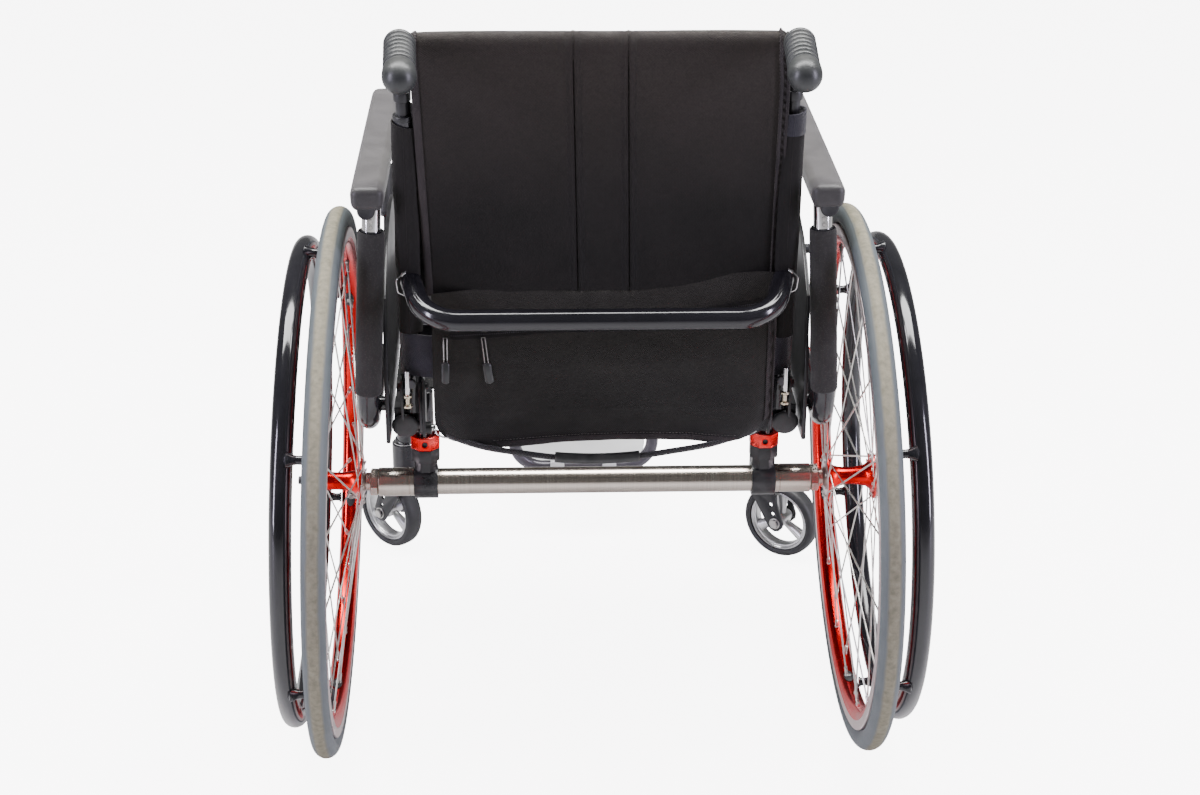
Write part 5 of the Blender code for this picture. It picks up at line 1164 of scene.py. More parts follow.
legs = [frame_corners(side)[1].lerp(frame_corners(side)[2], 0.5) for side in (-1.0, 1.0)]
brace = tube("cross_brace", legs, STRUT_TUBE)
fit(brace, "frame", "frame_black", GLOSS_BLACK, replaces=["seat_cross_tube"])
print("rail slope", round(math.degrees(math.atan(RAIL_SLOPE)), 2), "degrees")


# %% [markdown]
# ## Footrest
#
# A U of thin tube plugs into both legs. The flat plate hangs under its bar from two clips.

# %% Tube and plate
FOOT_BAR_Z = 0.093
FOOT_TUBE = 0.0080
FOOT_BENDS = [0.038, 0.038]
leg_axis = (at(LEG_X, *LEG_END) - at(LEG_X, *LEG_BEND)).normalized()


def foot_leg(side):
    """Top and bottom of one upright of the footrest tube."""
    end = at(side * LEG_X, *LEG_END)
    return [end - leg_axis * 0.030, end + leg_axis * ((FOOT_BAR_Z - LEG_END[1]) / leg_axis.z)]


foot_line = rounded_path(foot_leg(-1.0) + foot_leg(1.0)[::-1], FOOT_BENDS)
foot_tube = tube("foot_tube", foot_line, FOOT_TUBE)
fit(foot_tube, "frame", "plate_grey", FOOT_GREY, replaces=["footrest_tube"])
foot_plate = refined("foot_plate", "footplate", 0.0005)
fit(foot_plate, "frame", "plate_grey", FOOT_SILVER, replaces=["footplate"])


# %% [markdown]
# ## Casters
#
# A caster is a small turned wheel with three flared arms, in a black fork. The arms are short
# cones that run into the rim. The wheel stands turned as the photograph shows it.

# %% Caster places
CASTER_RADIUS = 0.050
CASTER_RIM = 0.0405
CASTER_HUB = 0.0095
CASTER_TRAIL = 0.032
FORK_OUTER = 0.0190
ARMS = 3
CASTER_TURN = {"left": math.radians(-136.0), "right": math.radians(55.0)}


def caster_frame(name, side):
    return Matrix.Translation(at(side * CASTER_X, CASTER_Y, 0.0)) @ Matrix.Rotation(CASTER_TURN[name], 4, "Z")


def across(frame_here, height=CASTER_RADIUS):
    """A frame on the caster's axle, with Z across the wheel."""
    return frame_here @ axes(Vector((0.0, CASTER_TRAIL, height)), X)


# %% Rim with its arms, tyre, fork and bolts
def caster_arms(wheel):
    """Short flared arms between the caster's hub and its rim."""
    start = CASTER_HUB - 0.0020
    reach = CASTER_RIM - 0.0060 - CASTER_HUB + 0.0020
    arm = new(bpy.ops.mesh.primitive_cone_add, vertices=32, radius1=0.0048, radius2=0.0078, depth=reach)
    edit(arm)
    bpy.ops.transform.resize(value=(0.85, 1.0, 1.0))
    done()
    shade(35.0)
    arm = place(arm, axes((start + reach / 2.0, 0.0, 0.0), X, Z))
    return copies("arms", arm, [wheel @ spun(math.pi / 2.0 + math.tau * i / ARMS) for i in range(ARMS)])


def caster(name, side):
    wheel = across(caster_frame(name, side))
    section = mirrored([
        (CASTER_RIM, 0.0090), (CASTER_RIM - 0.0008, 0.0094), (CASTER_RIM - 0.0022, 0.0094),
        (CASTER_RIM - 0.0030, 0.0088), (CASTER_RIM - 0.0040, 0.0070), (CASTER_RIM - 0.0048, 0.0072),
        (CASTER_RIM - 0.0058, 0.0070), (CASTER_RIM - 0.0065, 0.0056)])
    ring = turned("ring", section + section[:1], wheel, 72, 30.0)
    section = mirrored([(0.0042, 0.0155), (0.0070, 0.0155), (0.0078, 0.0147), (0.0078, 0.0092),
                        (CASTER_HUB, 0.0080)])
    centre = turned("centre", section + section[:1], wheel, 40, 30.0)
    made = join("caster_rim_" + name, ring, centre, caster_arms(wheel))
    fit(made, "caster_" + name, "caster_silver", CASTER_SILVER, replaces=["caster_wheel_" + name])
    section = mirrored([
        (CASTER_RIM + 0.0003, 0.0112), (CASTER_RIM + 0.0020, 0.0119), (CASTER_RADIUS - 0.0052, 0.0121),
        (CASTER_RADIUS - 0.0030, 0.0112), (CASTER_RADIUS - 0.0012, 0.0090),
        (CASTER_RADIUS - 0.0003, 0.0062), (CASTER_RADIUS, 0.0030)])
    tread = turned("caster_tread_" + name, section + section[:1], wheel, 72, 40.0)
    fit(tread, "caster_" + name, "rubber_black", BLACK_RUBBER, replaces=["caster_tyre_" + name])
    fork = refined("fork_" + name, "caster_fork_" + name, 0.0006)
    fit(fork, "caster_swivel_" + name, "satin_black", SATIN_BLACK, replaces=["caster_fork_" + name])
    bolts = []
    hexagon = [(0.0, 0.0046), (0.0052, 0.0046), (0.0060, 0.0040), (0.0060, 0.0008), (0.0, 0.0008)]
    for way in (1.0, -1.0):
        seat = wheel @ axes((0.0, 0.0, way * FORK_OUTER), (0.0, 0.0, way), X)
        bolts.append(turned("washer", capped(0.0074, -0.0003, 0.0010, 0.0003), seat, 32))
        bolts.append(turned("hex", hexagon, seat, 6, 20.0))
    fit(join("caster_bolts_" + name, *bolts), "caster_swivel_" + name, "chrome", STEEL)


both_sides(caster)


# %% [markdown]
# ## Armrests
#
# A J-shaped tube stands beside the back, with a foam sleeve slid over its upright. A chrome post
# telescopes in it and carries a black bar, and the soft pad is moulded over the bar. Post, bar
# and pad move together when the armrest is raised.

# %% Places on the armrest
ARM_X = 0.2365
ARM_Y = 0.055
ARM_LEAN = math.radians(3.0)
ARM_TUBE = 0.0111
ARM_LIMB_Z = RAIL_REAR_Z + 0.008
ARM_LIMB_FRONT_Y = -0.165
ARM_BEND_RADIUS = 0.045
ARM_TUBE_TOP_Z = ARM_LIMB_Z + 0.223
FOAM_RADIUS = 0.0140
FOAM_BOTTOM_Z = ARM_LIMB_Z + ARM_BEND_RADIUS - 0.0005
POST_RADIUS = 0.0095
ARM_BAR_Z = ARM_TUBE_TOP_Z + 0.0265
ARM_BAR_RADIUS = 0.0090
ARM_BAR_X = 0.2300
ARM_BAR_REAR_Y = 0.078
ARM_BAR_FRONT_Y = -0.270
PAD_X = 0.2288
PAD_WIDTH = 0.0340
PAD_REAR_Y = 0.080
PAD_LENGTH = 0.374
PAD_BOTTOM_Z = ARM_BAR_Z - 0.0010
PAD_THICKNESS = 0.0265
GUARD_OUTER_X = RAIL_X + 0.0142 + 0.0004 + 0.0042
FOAM_WAVES = 28


def arm_axis(side):
    return Vector((-side * math.sin(ARM_LEAN), 0.0, math.cos(ARM_LEAN)))


def arm_point(side, z):
    """A point on the post's axis at a height."""
    return at(side * ARM_X, ARM_Y, FOAM_BOTTOM_Z) + arm_axis(side) * ((z - FOAM_BOTTOM_Z) / math.cos(ARM_LEAN))


# %% Tube, foam, post and bar
def arm_tube(name, side):
    corner = arm_point(side, ARM_LIMB_Z)
    front = Vector((corner.x, AXLE_Y + ARM_LIMB_FRONT_Y, ARM_LIMB_Z))
    path = rounded_path([front, corner, arm_point(side, ARM_TUBE_TOP_Z)], [ARM_BEND_RADIUS])
    main = tube("arm_tube", path, ARM_TUBE)
    low = GUARD_OUTER_X + 0.0003
    section = [(0.0, ARM_X), (0.0080, ARM_X), (0.0080, low + 0.0006), (0.0074, low), (0.0, low)]
    lugs = [turned("lug", section, along_x(0.0, side, ARM_LIMB_Z, y), 32)
            for y in (ARM_LIMB_FRONT_Y + 0.020, ARM_Y - ARM_BEND_RADIUS - 0.030)]
    made = join("arm_frame_" + name, main, *lugs)
    fit(made, "frame", "frame_black", GLOSS_BLACK, replaces=["armrest_tube_" + name])


def foam_sleeve(name, side):
    """The foam round the upright: a little wavy, with torn rims."""
    base = axes(arm_point(side, FOAM_BOTTOM_Z), arm_axis(side))
    length = (arm_point(side, ARM_TUBE_TOP_Z) - arm_point(side, FOAM_BOTTOM_Z)).length - 0.001
    section = [(0.0116, length - 0.0010), (FOAM_RADIUS - 0.0016, length),
               (FOAM_RADIUS - 0.0004, length - 0.0012)]
    for i in range(FOAM_WAVES):
        t = i / (FOAM_WAVES - 1.0)
        wave = 0.00025 * noise.noise(Vector((0.0, side * 3.0, 14.0 * t)))
        section.append((FOAM_RADIUS - 0.0001 + wave, (length - 0.004) * (1.0 - t) + 0.002 * t))
    section += [(FOAM_RADIUS - 0.0008, 0.0004), (0.0126, 0.0), (0.0116, 0.0006)]
    foam = turned("foam_sleeve_" + name, section + section[:1], base, 56, 50.0)
    for vertex in foam.data.vertices:
        outward = vertex.co - base.translation
        outward -= arm_axis(side) * outward.dot(arm_axis(side))
        vertex.co += outward.normalized() * 0.0002 * noise.noise(vertex.co * 60.0)
    fit(foam, "frame", "foam_grey", FOAM, replaces=["armrest_foam_" + name])


def sliding_post(name, side):
    """What rises with the armrest under its pad: post, bar and the two screws that join them."""
    start = arm_point(side, ARM_TUBE_TOP_Z - 0.130)
    reach = (arm_point(side, ARM_BAR_Z) - start).length
    section = capped(POST_RADIUS, 0.0, reach, 0.0008)
    post = turned("chrome_post_" + name, section, axes(start, arm_axis(side)), 48)
    fit(post, "armrest_" + name, "chrome", CHROME, replaces=["armrest_post_" + name])
    low = -(ARM_BAR_REAR_Y - ARM_BAR_FRONT_Y)
    section = [(0.0, -0.0003), (0.0060, -0.0004), (0.0066, 0.0), (ARM_BAR_RADIUS - 0.0009, 0.0),
               (ARM_BAR_RADIUS, -0.0009), (ARM_BAR_RADIUS, low + 0.0006), (ARM_BAR_RADIUS - 0.0006, low),
               (0.0, low)]
    bar = turned("pad_bar_" + name, section, axes(at(side * ARM_BAR_X, ARM_BAR_REAR_Y, ARM_BAR_Z), Y, X), 48)
    fit(bar, "armrest_" + name, "satin_black", MOULDED_BLACK)
    section = [(0.0, 0.0012), (0.0018, 0.0012), (0.0022, 0.0007), (0.0022, -0.001), (0.0, -0.001)]
    screws = []
    for drop in (0.0150, 0.0215):
        seat = arm_point(side, ARM_BAR_Z - drop) + Vector((0.0, POST_RADIUS - 0.0004, 0.0))
        screws.append(turned("screw", section, axes(seat, Y, X), 16))
    fit(join("post_screws_" + name, *screws), "armrest_" + name, "chrome", STEEL)


# %% Arm pad: a block whose top is crowned, its ends rounded off
def arm_pad(name, side):
    centre = at(side * PAD_X, PAD_REAR_Y - PAD_LENGTH / 2.0, PAD_BOTTOM_Z + PAD_THICKNESS / 2.0)
    pad = new(bpy.ops.mesh.primitive_cube_add, "pad_" + name, size=1.0, location=centre)
    pad.scale = (PAD_WIDTH, PAD_LENGTH, PAD_THICKNESS)
    bpy.ops.object.transform_apply(location=True, rotation=False, scale=True)
    edit(pad)
    bpy.ops.mesh.bevel(offset=0.0085, segments=6, affect="EDGES", clamp_overlap=True)
    done()
    for vertex in pad.data.vertices:
        along = (vertex.co.y - centre.y) / (PAD_LENGTH / 2.0)
        sideways = (vertex.co.x - centre.x) / (PAD_WIDTH / 2.0)
        height = (vertex.co.z - centre.z) / (PAD_THICKNESS / 2.0)
        vertex.co.x = centre.x + (vertex.co.x - centre.x) * (1.0 - 0.06 * max(0.0, -height))
        vertex.co.z -= 0.0014 * max(0.0, height) * sideways ** 2
        vertex.co.z -= 0.0010 * max(0.0, height) * along ** 4
    modify(pad, "SUBSURF", levels=2, render_levels=2)
    bpy.ops.object.shade_smooth()
    fit(pad, "armrest_" + name, "pad_grey", PAD_SKIN, PAD_SHADED_END, replaces=["arm_pad_" + name])
    # Faces that look to the rear take the darker copy: painted shade.
    paint_faces(pad, 1, lambda centre, normal: normal.y > 0.55)


both_sides(arm_tube, foam_sleeve, sliding_post, arm_pad)
print("armrest height", round(ARM_BAR_Z, 4))


# %% [markdown]
# ## Side guards and wheel locks
#
# A thin plate keeps clothes off each wheel, its top edge following the tyre. The lock is a flat
# lever on the rail, with a round shoe that presses on the tyre and a rubber handle.

# %% Plates and levers
LEVER_ANGLE = math.radians(112.0)


def guard_and_lock(name, side):
    guard = refined("guard_" + name, "sideguard_" + name, 0.0009, segments=3)
    fit(guard, "frame", "satin_black", SATIN_BLACK, replaces=["sideguard_" + name])
    lever = refined("lock_lever_" + name, "brake_lever_" + name, 0.0005)
    fit(lever, "lock_" + name, "satin_black", SATIN_BLACK, replaces=["brake_lever_" + name])
    pivot = at(side * (LOCK_X + LOCK_PLATE / 2.0), LOCK_Y, rail_z(LOCK_Y) - LOCK_DROP)
    along = axes(pivot, (0.0, math.cos(LEVER_ANGLE), math.sin(LEVER_ANGLE)), X)
    knob = turned("lever_rubber_" + name, capped(0.0092, 0.064, 0.1275, 0.0060), along, 40)
    fit(knob, "lock_" + name, "rubber_black", BLACK_RUBBER)


both_sides(guard_and_lock)


# %% [markdown]
# ## Folding back
#
# The back turns on two bolts just behind the seat. Each cane is a gloss black tube between the
# plates of its bracket, with a locking plate at its foot. A bent rod in the cane's top carries
# the push grip. All of it rides on the back.

# %% Back frame
BACK_ANGLE = math.radians(6.0)
PIVOT_Y = 0.030
PIVOT_Z = RAIL_REAR_Z + 0.050
CANE_TOP = 0.302
HANDLE_POST = 0.0068
HANDLE_CORNER = 0.388
HANDLE_BEND = 0.022
HANDLE_DROP = math.radians(-9.0)
HANDLE_TOE = math.radians(2.5)
GRIP_RADIUS = 0.0155
GRIP_LENGTH = 0.095
GRIP_RIBS = 7
BACK = Matrix.Translation(at(0.0, PIVOT_Y, PIVOT_Z)) @ Matrix.Rotation(-BACK_ANGLE, 4, "X")
BACK_UP = BACK.to_3x3() @ Vector(Z)
BACK_WAY = BACK.to_3x3() @ Vector(Y)


def cane_point(side, y, z):
    """A point in the back's own frame, on one cane."""
    return BACK @ Vector((side * CANE_X, y, z))


def handle_way(side):
    """Direction of a push grip: to the rear, a little down and inboard."""
    level = math.cos(HANDLE_DROP)
    return Vector((-side * level * math.sin(HANDLE_TOE), level * math.cos(HANDLE_TOE), math.sin(HANDLE_DROP)))


# %% Canes and brackets, and the posts that carry the grips
def cane(name, side):
    foot = refined("cane_foot", "back_cane_" + name, 0.0004)
    section = [(0.0, CANE_TOP), (CANE_RADIUS - 0.0008, CANE_TOP), (CANE_RADIUS + 0.0001, CANE_TOP - 0.0008),
               (CANE_RADIUS + 0.0001, 0.020), (0.0, 0.020)]
    made = turned("cane", section, axes(cane_point(side, 0.0, 0.0), BACK_UP), 48)
    fit(join("cane_" + name, made, foot), "back", "frame_black", GLOSS_BLACK, replaces=["back_cane_" + name])
    bracket = refined("hinge_bracket_" + name, "back_bracket_" + name, 0.0004)
    fit(bracket, "frame", "satin_black", SATIN_BLACK, replaces=["back_bracket_" + name])


def handle(name, side):
    start = cane_point(side, 0.0, CANE_TOP - 0.050)
    corner = cane_point(side, 0.0, HANDLE_CORNER)
    way = handle_way(side)
    grip_start = corner + way * (HANDLE_BEND + 0.004)
    path = rounded_path([start, corner, grip_start + way * GRIP_LENGTH * 0.7], [HANDLE_BEND])
    top = axes(cane_point(side, 0.0, CANE_TOP), BACK_UP)
    post = tube("post", path, HANDLE_POST)
    collar = turned("collar", capped(0.0088, 0.016, 0.026, 0.0008), top, 40)
    cap = turned("cap", capped(0.0102, -0.004, 0.0012, 0.0006), top, 40)
    fit(join("handle_" + name, post, collar, cap), "back", "satin_black", SATIN_BLACK,
        replaces=["handle_post_" + name])
    grip = turned("grip_" + name, grip_section(), axes(grip_start, way, X), 64, 45.0)
    fit(grip, "back", "rubber_black", GRIP_RUBBER, replaces=["push_grip_" + name])


# %% The grip's section: a ball end, then ribs, each a steep rise and a long fall
RIB_SHAPE = ((0.0, 0.0026), (0.10, 0.0024), (0.22, 0.0008), (0.36, 0.0001), (0.56, 0.0),
             (0.76, 0.0004), (0.90, 0.0018))


def grip_section():
    ball = GRIP_RADIUS * 1.05
    rib_zone = GRIP_LENGTH - 2.0 * ball
    pitch = rib_zone / GRIP_RIBS
    section = [(0.0, GRIP_LENGTH)]
    for a in [math.radians(80.0 - 10.0 * i) for i in range(9)]:
        section.append((ball * math.cos(a), GRIP_LENGTH - ball + ball * math.sin(a)))
    section += [(ball, GRIP_LENGTH - ball - 0.004), (ball * 0.99, rib_zone + ball * 0.45),
                (ball * 0.95, rib_zone + ball * 0.18)]
    for i in range(GRIP_RIBS):
        for share, low in RIB_SHAPE:
            section.append((GRIP_RADIUS - low, rib_zone - i * pitch - pitch * share))
    return section + [(GRIP_RADIUS - 0.0030, 0.0), (0.0072, 0.0), (0.0072, 0.02), (0.0, 0.02)]


# %% Latch pins with their split rings, and the adjusters beside the canes
SPLIT_WIRE = 0.00065
SPLIT_SHIFTS = (-0.00055, 0.00055)


def latch(name, side):
    """The latch pin and its split ring of two wire turns."""
    pin = axes(at(side * PLUNGER_INNER_X, PLUNGER_Y, PLUNGER_Z), (-side, 0.0, 0.0))
    section = [(0.0, 0.0100), (0.0030, 0.0100), (0.0036, 0.0094), (0.0036, 0.0080), (0.0028, 0.0076),
               (0.0028, 0.0066), (0.0036, 0.0062), (0.0036, -0.0013), (0.0, -0.0013)]
    pieces = [turned("pin", section, pin, 24)]
    hung = axes(ring_centre(side), (-side * 0.40, 0.30, 0.87), X)
    for shift in SPLIT_SHIFTS:
        ring = new(bpy.ops.mesh.primitive_torus_add, major_segments=64, minor_segments=10,
                   major_radius=RING_RADIUS, minor_radius=SPLIT_WIRE)
        bpy.ops.object.shade_smooth()
        pieces.append(place(ring, hung @ Matrix.Translation((0.0, 0.0, shift))))
    made = join("latch_ring_" + name, *pieces)
    fit(made, "release_" + name, "chrome", CHROME, replaces=["release_plunger_" + name])


def adjuster(name, side):
    """The brass bobbin on a thin rod beside the cane's foot, with its grey knob."""
    base = at(side * 0.1965, 0.0500, 0.0)
    section = [(0.0, 0.4180), (0.0046, 0.4180), (0.0050, 0.4176), (0.0050, 0.4158), (0.0044, 0.4150),
               (0.0026, 0.4142), (0.0026, 0.4078), (0.0044, 0.4070), (0.0050, 0.4062), (0.0050, 0.4044),
               (0.0046, 0.4040), (0.0, 0.4040)]
    bobbin = turned("adjuster_" + name, section, Matrix.Translation(base), 32)
    fit(bobbin, "back", "chrome", BRASS)
    rod = turned("adjuster_rod_" + name, capped(0.0030, 0.4170, 0.4450, 0.0006), Matrix.Translation(base), 28)
    fit(rod, "back", "chrome", CHROME)
    seat = axes(base + Vector((-side * 0.004, -0.004, 0.430)), Y, X)
    knob = turned("adjuster_knob_" + name, capped(0.0050, 0.0, 0.0060, 0.0010), seat, 32)
    fit(knob, "back", "plug_grey", PLUG_PLASTIC)


both_sides(cane, handle, latch, adjuster)
print("back frame ready")


# %% [markdown]
# ## Back upholstery
#
# The back is one black cloth panel between the canes, sewn in three strips. Its upper edge is
# rolled over a pad, and tape runs down both sides. Sleeves of the same cloth go round the canes.
# Below the panel hangs a twill pocket with a zip along its top, and bands of hook tape wrap the
# canes beside it. Each cloth starts as a flat grid. A function lays its points in the back's own
# place, so seams and folds are sizes in metres, and the weave still runs straight.

# %% A cloth from a flat grid
def ease(low, high, value):
    """0 below low, 1 above high, and a smooth step between."""
    t = min(1.0, max(0.0, (value - low) / (high - low)))
    return t * t * (3.0 - 2.0 * t)


def between(value, places, results):
    """Follows the straight lines through these places and results."""
    for a, b, x, y in zip(places, places[1:], results, results[1:]):
        if value <= b:
            return x + (y - x) * (value - a) / (b - a)
    return results[-1]


def cloth_grid(name, cells, size, shape, thickness):
    """A cloth wall whose points are laid by a function of u and w, both from -1 to 1."""
    obj = new(bpy.ops.mesh.primitive_grid_add, name, x_subdivisions=cells[0], y_subdivisions=cells[1], size=2.0)
    flat = [tuple(vertex.co.xy) for vertex in obj.data.vertices]
    stamp(obj, "flat", [(u * size[0] / 2.0, w * size[1] / 2.0, 0.0) for u, w in flat])
    for vertex, (u, w) in zip(obj.data.vertices, flat):
        vertex.co = shape(u, w)
    modify(obj, "SOLIDIFY", thickness=thickness, offset=0.0)
    shade(55.0)
    return obj


def stitches(name, line, normal, length=0.0024, pitch=0.0034, radius=0.00035):
    """A row of short threads laid along a line of points."""
    spots = []
    walked = 0.0
    for p, q in zip(line, line[1:]):
        step = (q - p).length
        while walked < step:
            spots.append((p.lerp(q, walked / step), (q - p).normalized()))
            walked += pitch
        walked -= step
    thread = new(bpy.ops.mesh.primitive_cylinder_add, vertices=6, radius=radius, depth=length)
    edit(thread)
    bpy.ops.mesh.bevel(offset=radius * 0.5, segments=1)
    done()
    made = copies(name, thread, [axes(point, way, normal) for point, way in spots])
    stamp(made, "flat", [tuple(vertex.co) for vertex in made.data.vertices])
    return made


# %% The panel's own surface
PANEL_TOP = 0.3885
PANEL_ROLL = 0.020
PANEL_ROLL_DEPTH = 0.009
ROLL_SHARE = 0.88
SEAMS = (-1.0 / 6.6, 1.0 / 6.6)


def panel_low(x):
    """Height of the panel's lower edge, which rises to the right."""
    return 0.1165 - 0.0087 * ease(0.05, 0.175, x) + 0.0130 * ease(0.03, 0.18, -x)


def panel_x(across, share):
    """Where a warp thread lies: the two seams spread apart toward the top."""
    left = 0.1745 + 0.0095 * share
    right = -0.1856 + 0.0040 * ease(0.75, 1.0, share)
    seams = [-0.0325 + 0.005 * share, 0.0195 + 0.0065 * share]
    return between(across, [-1.0, *SEAMS, 1.0], [right, *seams, left])


def panel_point(across, share, lift=0.0):
    """A point on the panel: across from -1 to 1, share from 0 at the hem to 1 over the roll."""
    x = panel_x(across, min(share, ROLL_SHARE))
    rise = min(1.0, share / ROLL_SHARE)
    fold = PANEL_TOP - PANEL_ROLL - 0.0024 * abs(across) ** 4 - 0.0035 * ease(0.955, 1.0, abs(across))
    z = panel_low(x) + (fold - panel_low(x)) * rise
    edge = 0.0015 + 0.0070 * ease(0.15, 0.80, rise)
    y = edge + (0.0128 - edge) * (1.0 - across ** 2)
    y += 0.0012 * noise.noise(Vector((x * 11.0, 3.0, z * 6.0)))
    y += 0.0005 * noise.noise(Vector((x * 30.0, 7.0, z * 14.0)))
    seam = min(abs(across - SEAMS[0]), abs(across - SEAMS[1])) * 0.18
    depth = 1.0 - 0.72 * ease(0.350, 0.372, z)
    y -= 0.0060 * depth * math.exp(-(seam / 0.0011) ** 2)
    y += 0.0009 * depth * math.exp(-((seam - 0.0040) / 0.0022) ** 2)
    y += 0.0006 * ease(0.010, 0.004, z - panel_low(x))
    turn = math.radians(150.0) * max(0.0, share - ROLL_SHARE) / (1.0 - ROLL_SHARE)
    height = z + (PANEL_ROLL + lift) * math.sin(turn)
    return BACK @ Vector((x, y - PANEL_ROLL_DEPTH * (1.0 - math.cos(turn)) + lift * math.cos(turn), height))


# %% Panel, side tapes and seams
PANEL_SIZE = (0.366, 0.310)
SEAM_ZONE = 0.045
columns = [i / 26.0 for i in range(-26, 27)]
for seam in SEAMS:
    columns = [c for c in columns if abs(c - seam) > SEAM_ZONE]
    columns += [seam + SEAM_ZONE * i / 12.0 for i in range(-12, 13)]
columns.sort()


def share_of(w):
    """A place from 0 to 1 for one from -1 to 1."""
    return (w + 1.0) / 2.0


def panel_shape(u, w):
    index = round(share_of(u) * (len(columns) - 1))
    return panel_point(columns[index], share_of(w))


def pucker(u, w, waves, height):
    """The gathers along the middle of a tape that is sewn down tight."""
    return height * math.cos(w * waves * math.pi) * max(0.0, 1.0 - abs(u) * 1.6)


def bulge(u):
    """The rise of a bound edge across its width."""
    return math.sqrt(max(0.0, 1.0 - u * u))


panel = cloth_grid("back_panel", (len(columns) - 1, 124), PANEL_SIZE, panel_shape, 0.0022)
fit(panel, "back", "back_cloth", BACK_CLOTH, replaces=["back_upholstery"])


def left_tape(u, w):
    """A flat tape, bound over the panel's edge."""
    lift = 0.0016 + 0.0012 * bulge(u) + 0.0003 * noise.noise(Vector((u * 2.0, 0.0, w * 30.0)))
    return panel_point(0.9995 + 0.0195 * (u - 1.0), share_of(w), lift)


def right_tape(u, w):
    """A tape with a raised lip on each side and a puckered channel between."""
    lips = 0.0014 + 0.0022 * ease(0.35, 0.80, abs(u)) - 0.0012 * ease(0.85, 1.0, abs(u))
    return panel_point(-0.9995 - 0.0245 * (u - 1.0), share_of(w), lips + pucker(u, w, 31.0, 0.0009))


def tick_line(across, lift):
    return [panel_point(across, i / 90.0, lift) for i in range(1, 90)]


left_edge = cloth_grid("tape_left", (10, 180), (0.0075, 0.310), left_tape, 0.0008)
right_edge = cloth_grid("tape_right", (14, 248), (0.0090, 0.310), right_tape, 0.0008)
left_ticks = stitches("ticks_left", tick_line(0.9605, 0.0014), BACK_WAY, 0.0016, 0.0033, 0.0005)
right_ticks = stitches("ticks_right", tick_line(-0.9480, 0.0018), BACK_WAY, 0.0022, 0.0036)
fit(left_edge, "back", "back_cloth", TRIM_TAPE)
fit(right_edge, "back", "back_cloth", TRIM_TAPE)
fit(left_ticks, "back", "back_cloth", SLEEVE_CLOTH)
fit(right_ticks, "back", "back_cloth", THREAD)
print("panel", len(panel.data.polygons), "faces")


# %% Sleeves round the canes
def nearest_cane(side):
    return ["cane_left" if side > 0 else "cane_right"]


def sleeve(name, side, low, high, slant, material, radius, loose):
    """A loose cloth tube on a cane, its upper rim cut on a slant."""
    size = (math.tau * radius, high - low)

    def shape(u, w):
        a = math.pi * u - math.pi / 2.0
        outward = math.cos(a) * side
        share = share_of(w)
        z = low + (high + slant * outward - low) * share
        creases = noise.noise(Vector((math.cos(a) * 1.6, math.sin(a) * 1.6, z * 26.0 + side * 5.0)))
        r = radius + loose * (0.55 + 0.8 * creases) * (1.0 - 0.5 * ease(0.9, 1.0, share))
        r = max(r, CANE_RADIUS + 0.0010)
        return BACK @ Vector((side * CANE_X + r * math.cos(a), r * math.sin(a), z))

    made = cloth_grid(name, (40, max(6, round((high - low) / 0.0035))), size, shape, 0.0012)
    fit(made, "back", "back_cloth", material)
    nearest_cane(side)


sleeve("sleeve_left", 1.0, 0.0668, 0.2940, 0.0030, SLEEVE_CLOTH, 0.0112, 0.0012)
sleeve("sleeve_right", -1.0, 0.0590, 0.2880, 0.0010, SLEEVE_CLOTH, 0.0112, 0.0012)
sleeve("strap_right", -1.0, 0.2830, 0.3060, 0.0015, HOOK_BAND, 0.0126, 0.0003)


# %% Webs: the cloth between the panel's edge and each sleeve
def web(name, side):
    def shape(u, w):
        share = share_of(w)
        edge = BACK.inverted() @ panel_point(side * 0.997, share * 0.72)
        sleeve_front = Vector((side * (CANE_X - 0.002), -CANE_RADIUS - 0.0022, edge.z))
        point = sleeve_front.lerp(edge, share_of(u))
        creases = 1.0 + 0.5 * noise.noise(Vector((0.0, side, share * 12.0)))
        point.y -= 0.0012 * math.sin((u + 1.0) * math.pi / 2.0) * creases
        return BACK @ point

    made = cloth_grid(name, (8, 60), (0.016, 0.190), shape, 0.0012)
    fit(made, "back", "back_cloth", SLEEVE_CLOTH)
    return made


webs = [web("web_left", 1.0), web("web_right", -1.0)]


# %% Hook bands, wrapped round the canes from the pocket
BAND_FRONT_X = 0.160
BAND_REAR_X = 0.1655


def hook_band(name, side, low, high):
    radius = CANE_RADIUS + 0.0017
    arc_length = math.pi * radius
    front = CANE_X - BAND_FRONT_X
    rear = CANE_X - BAND_REAR_X
    total = front + arc_length + rear

    def shape(u, w):
        walked = share_of(u) * total
        z = low + (high - low) * (w + 1.0) / 2.0
        z += 0.0012 * noise.noise(Vector((walked * 20.0, w, side)))
        if walked < front:
            x, y = BAND_FRONT_X + walked, -radius
        elif walked < front + arc_length:
            a = (walked - front) / radius - math.pi / 2.0
            x, y = CANE_X + radius * math.cos(a), radius * math.sin(a)
        else:
            back = walked - front - arc_length
            x, y = CANE_X - back, radius + 0.004 * ease(0.0, rear, back)
        y += 0.0006 * noise.noise(Vector((walked * 40.0, w * 1.5, side * 3.0)))
        return BACK @ Vector((side * x, y, z))

    made = cloth_grid(name, (60, 14), (total, high - low), shape, 0.0014)
    fit(made, "back", "back_cloth", HOOK_BAND)


hook_band("hook_band_left", 1.0, 0.0182, 0.0660)
hook_band("hook_band_right", -1.0, 0.0160, 0.0590)


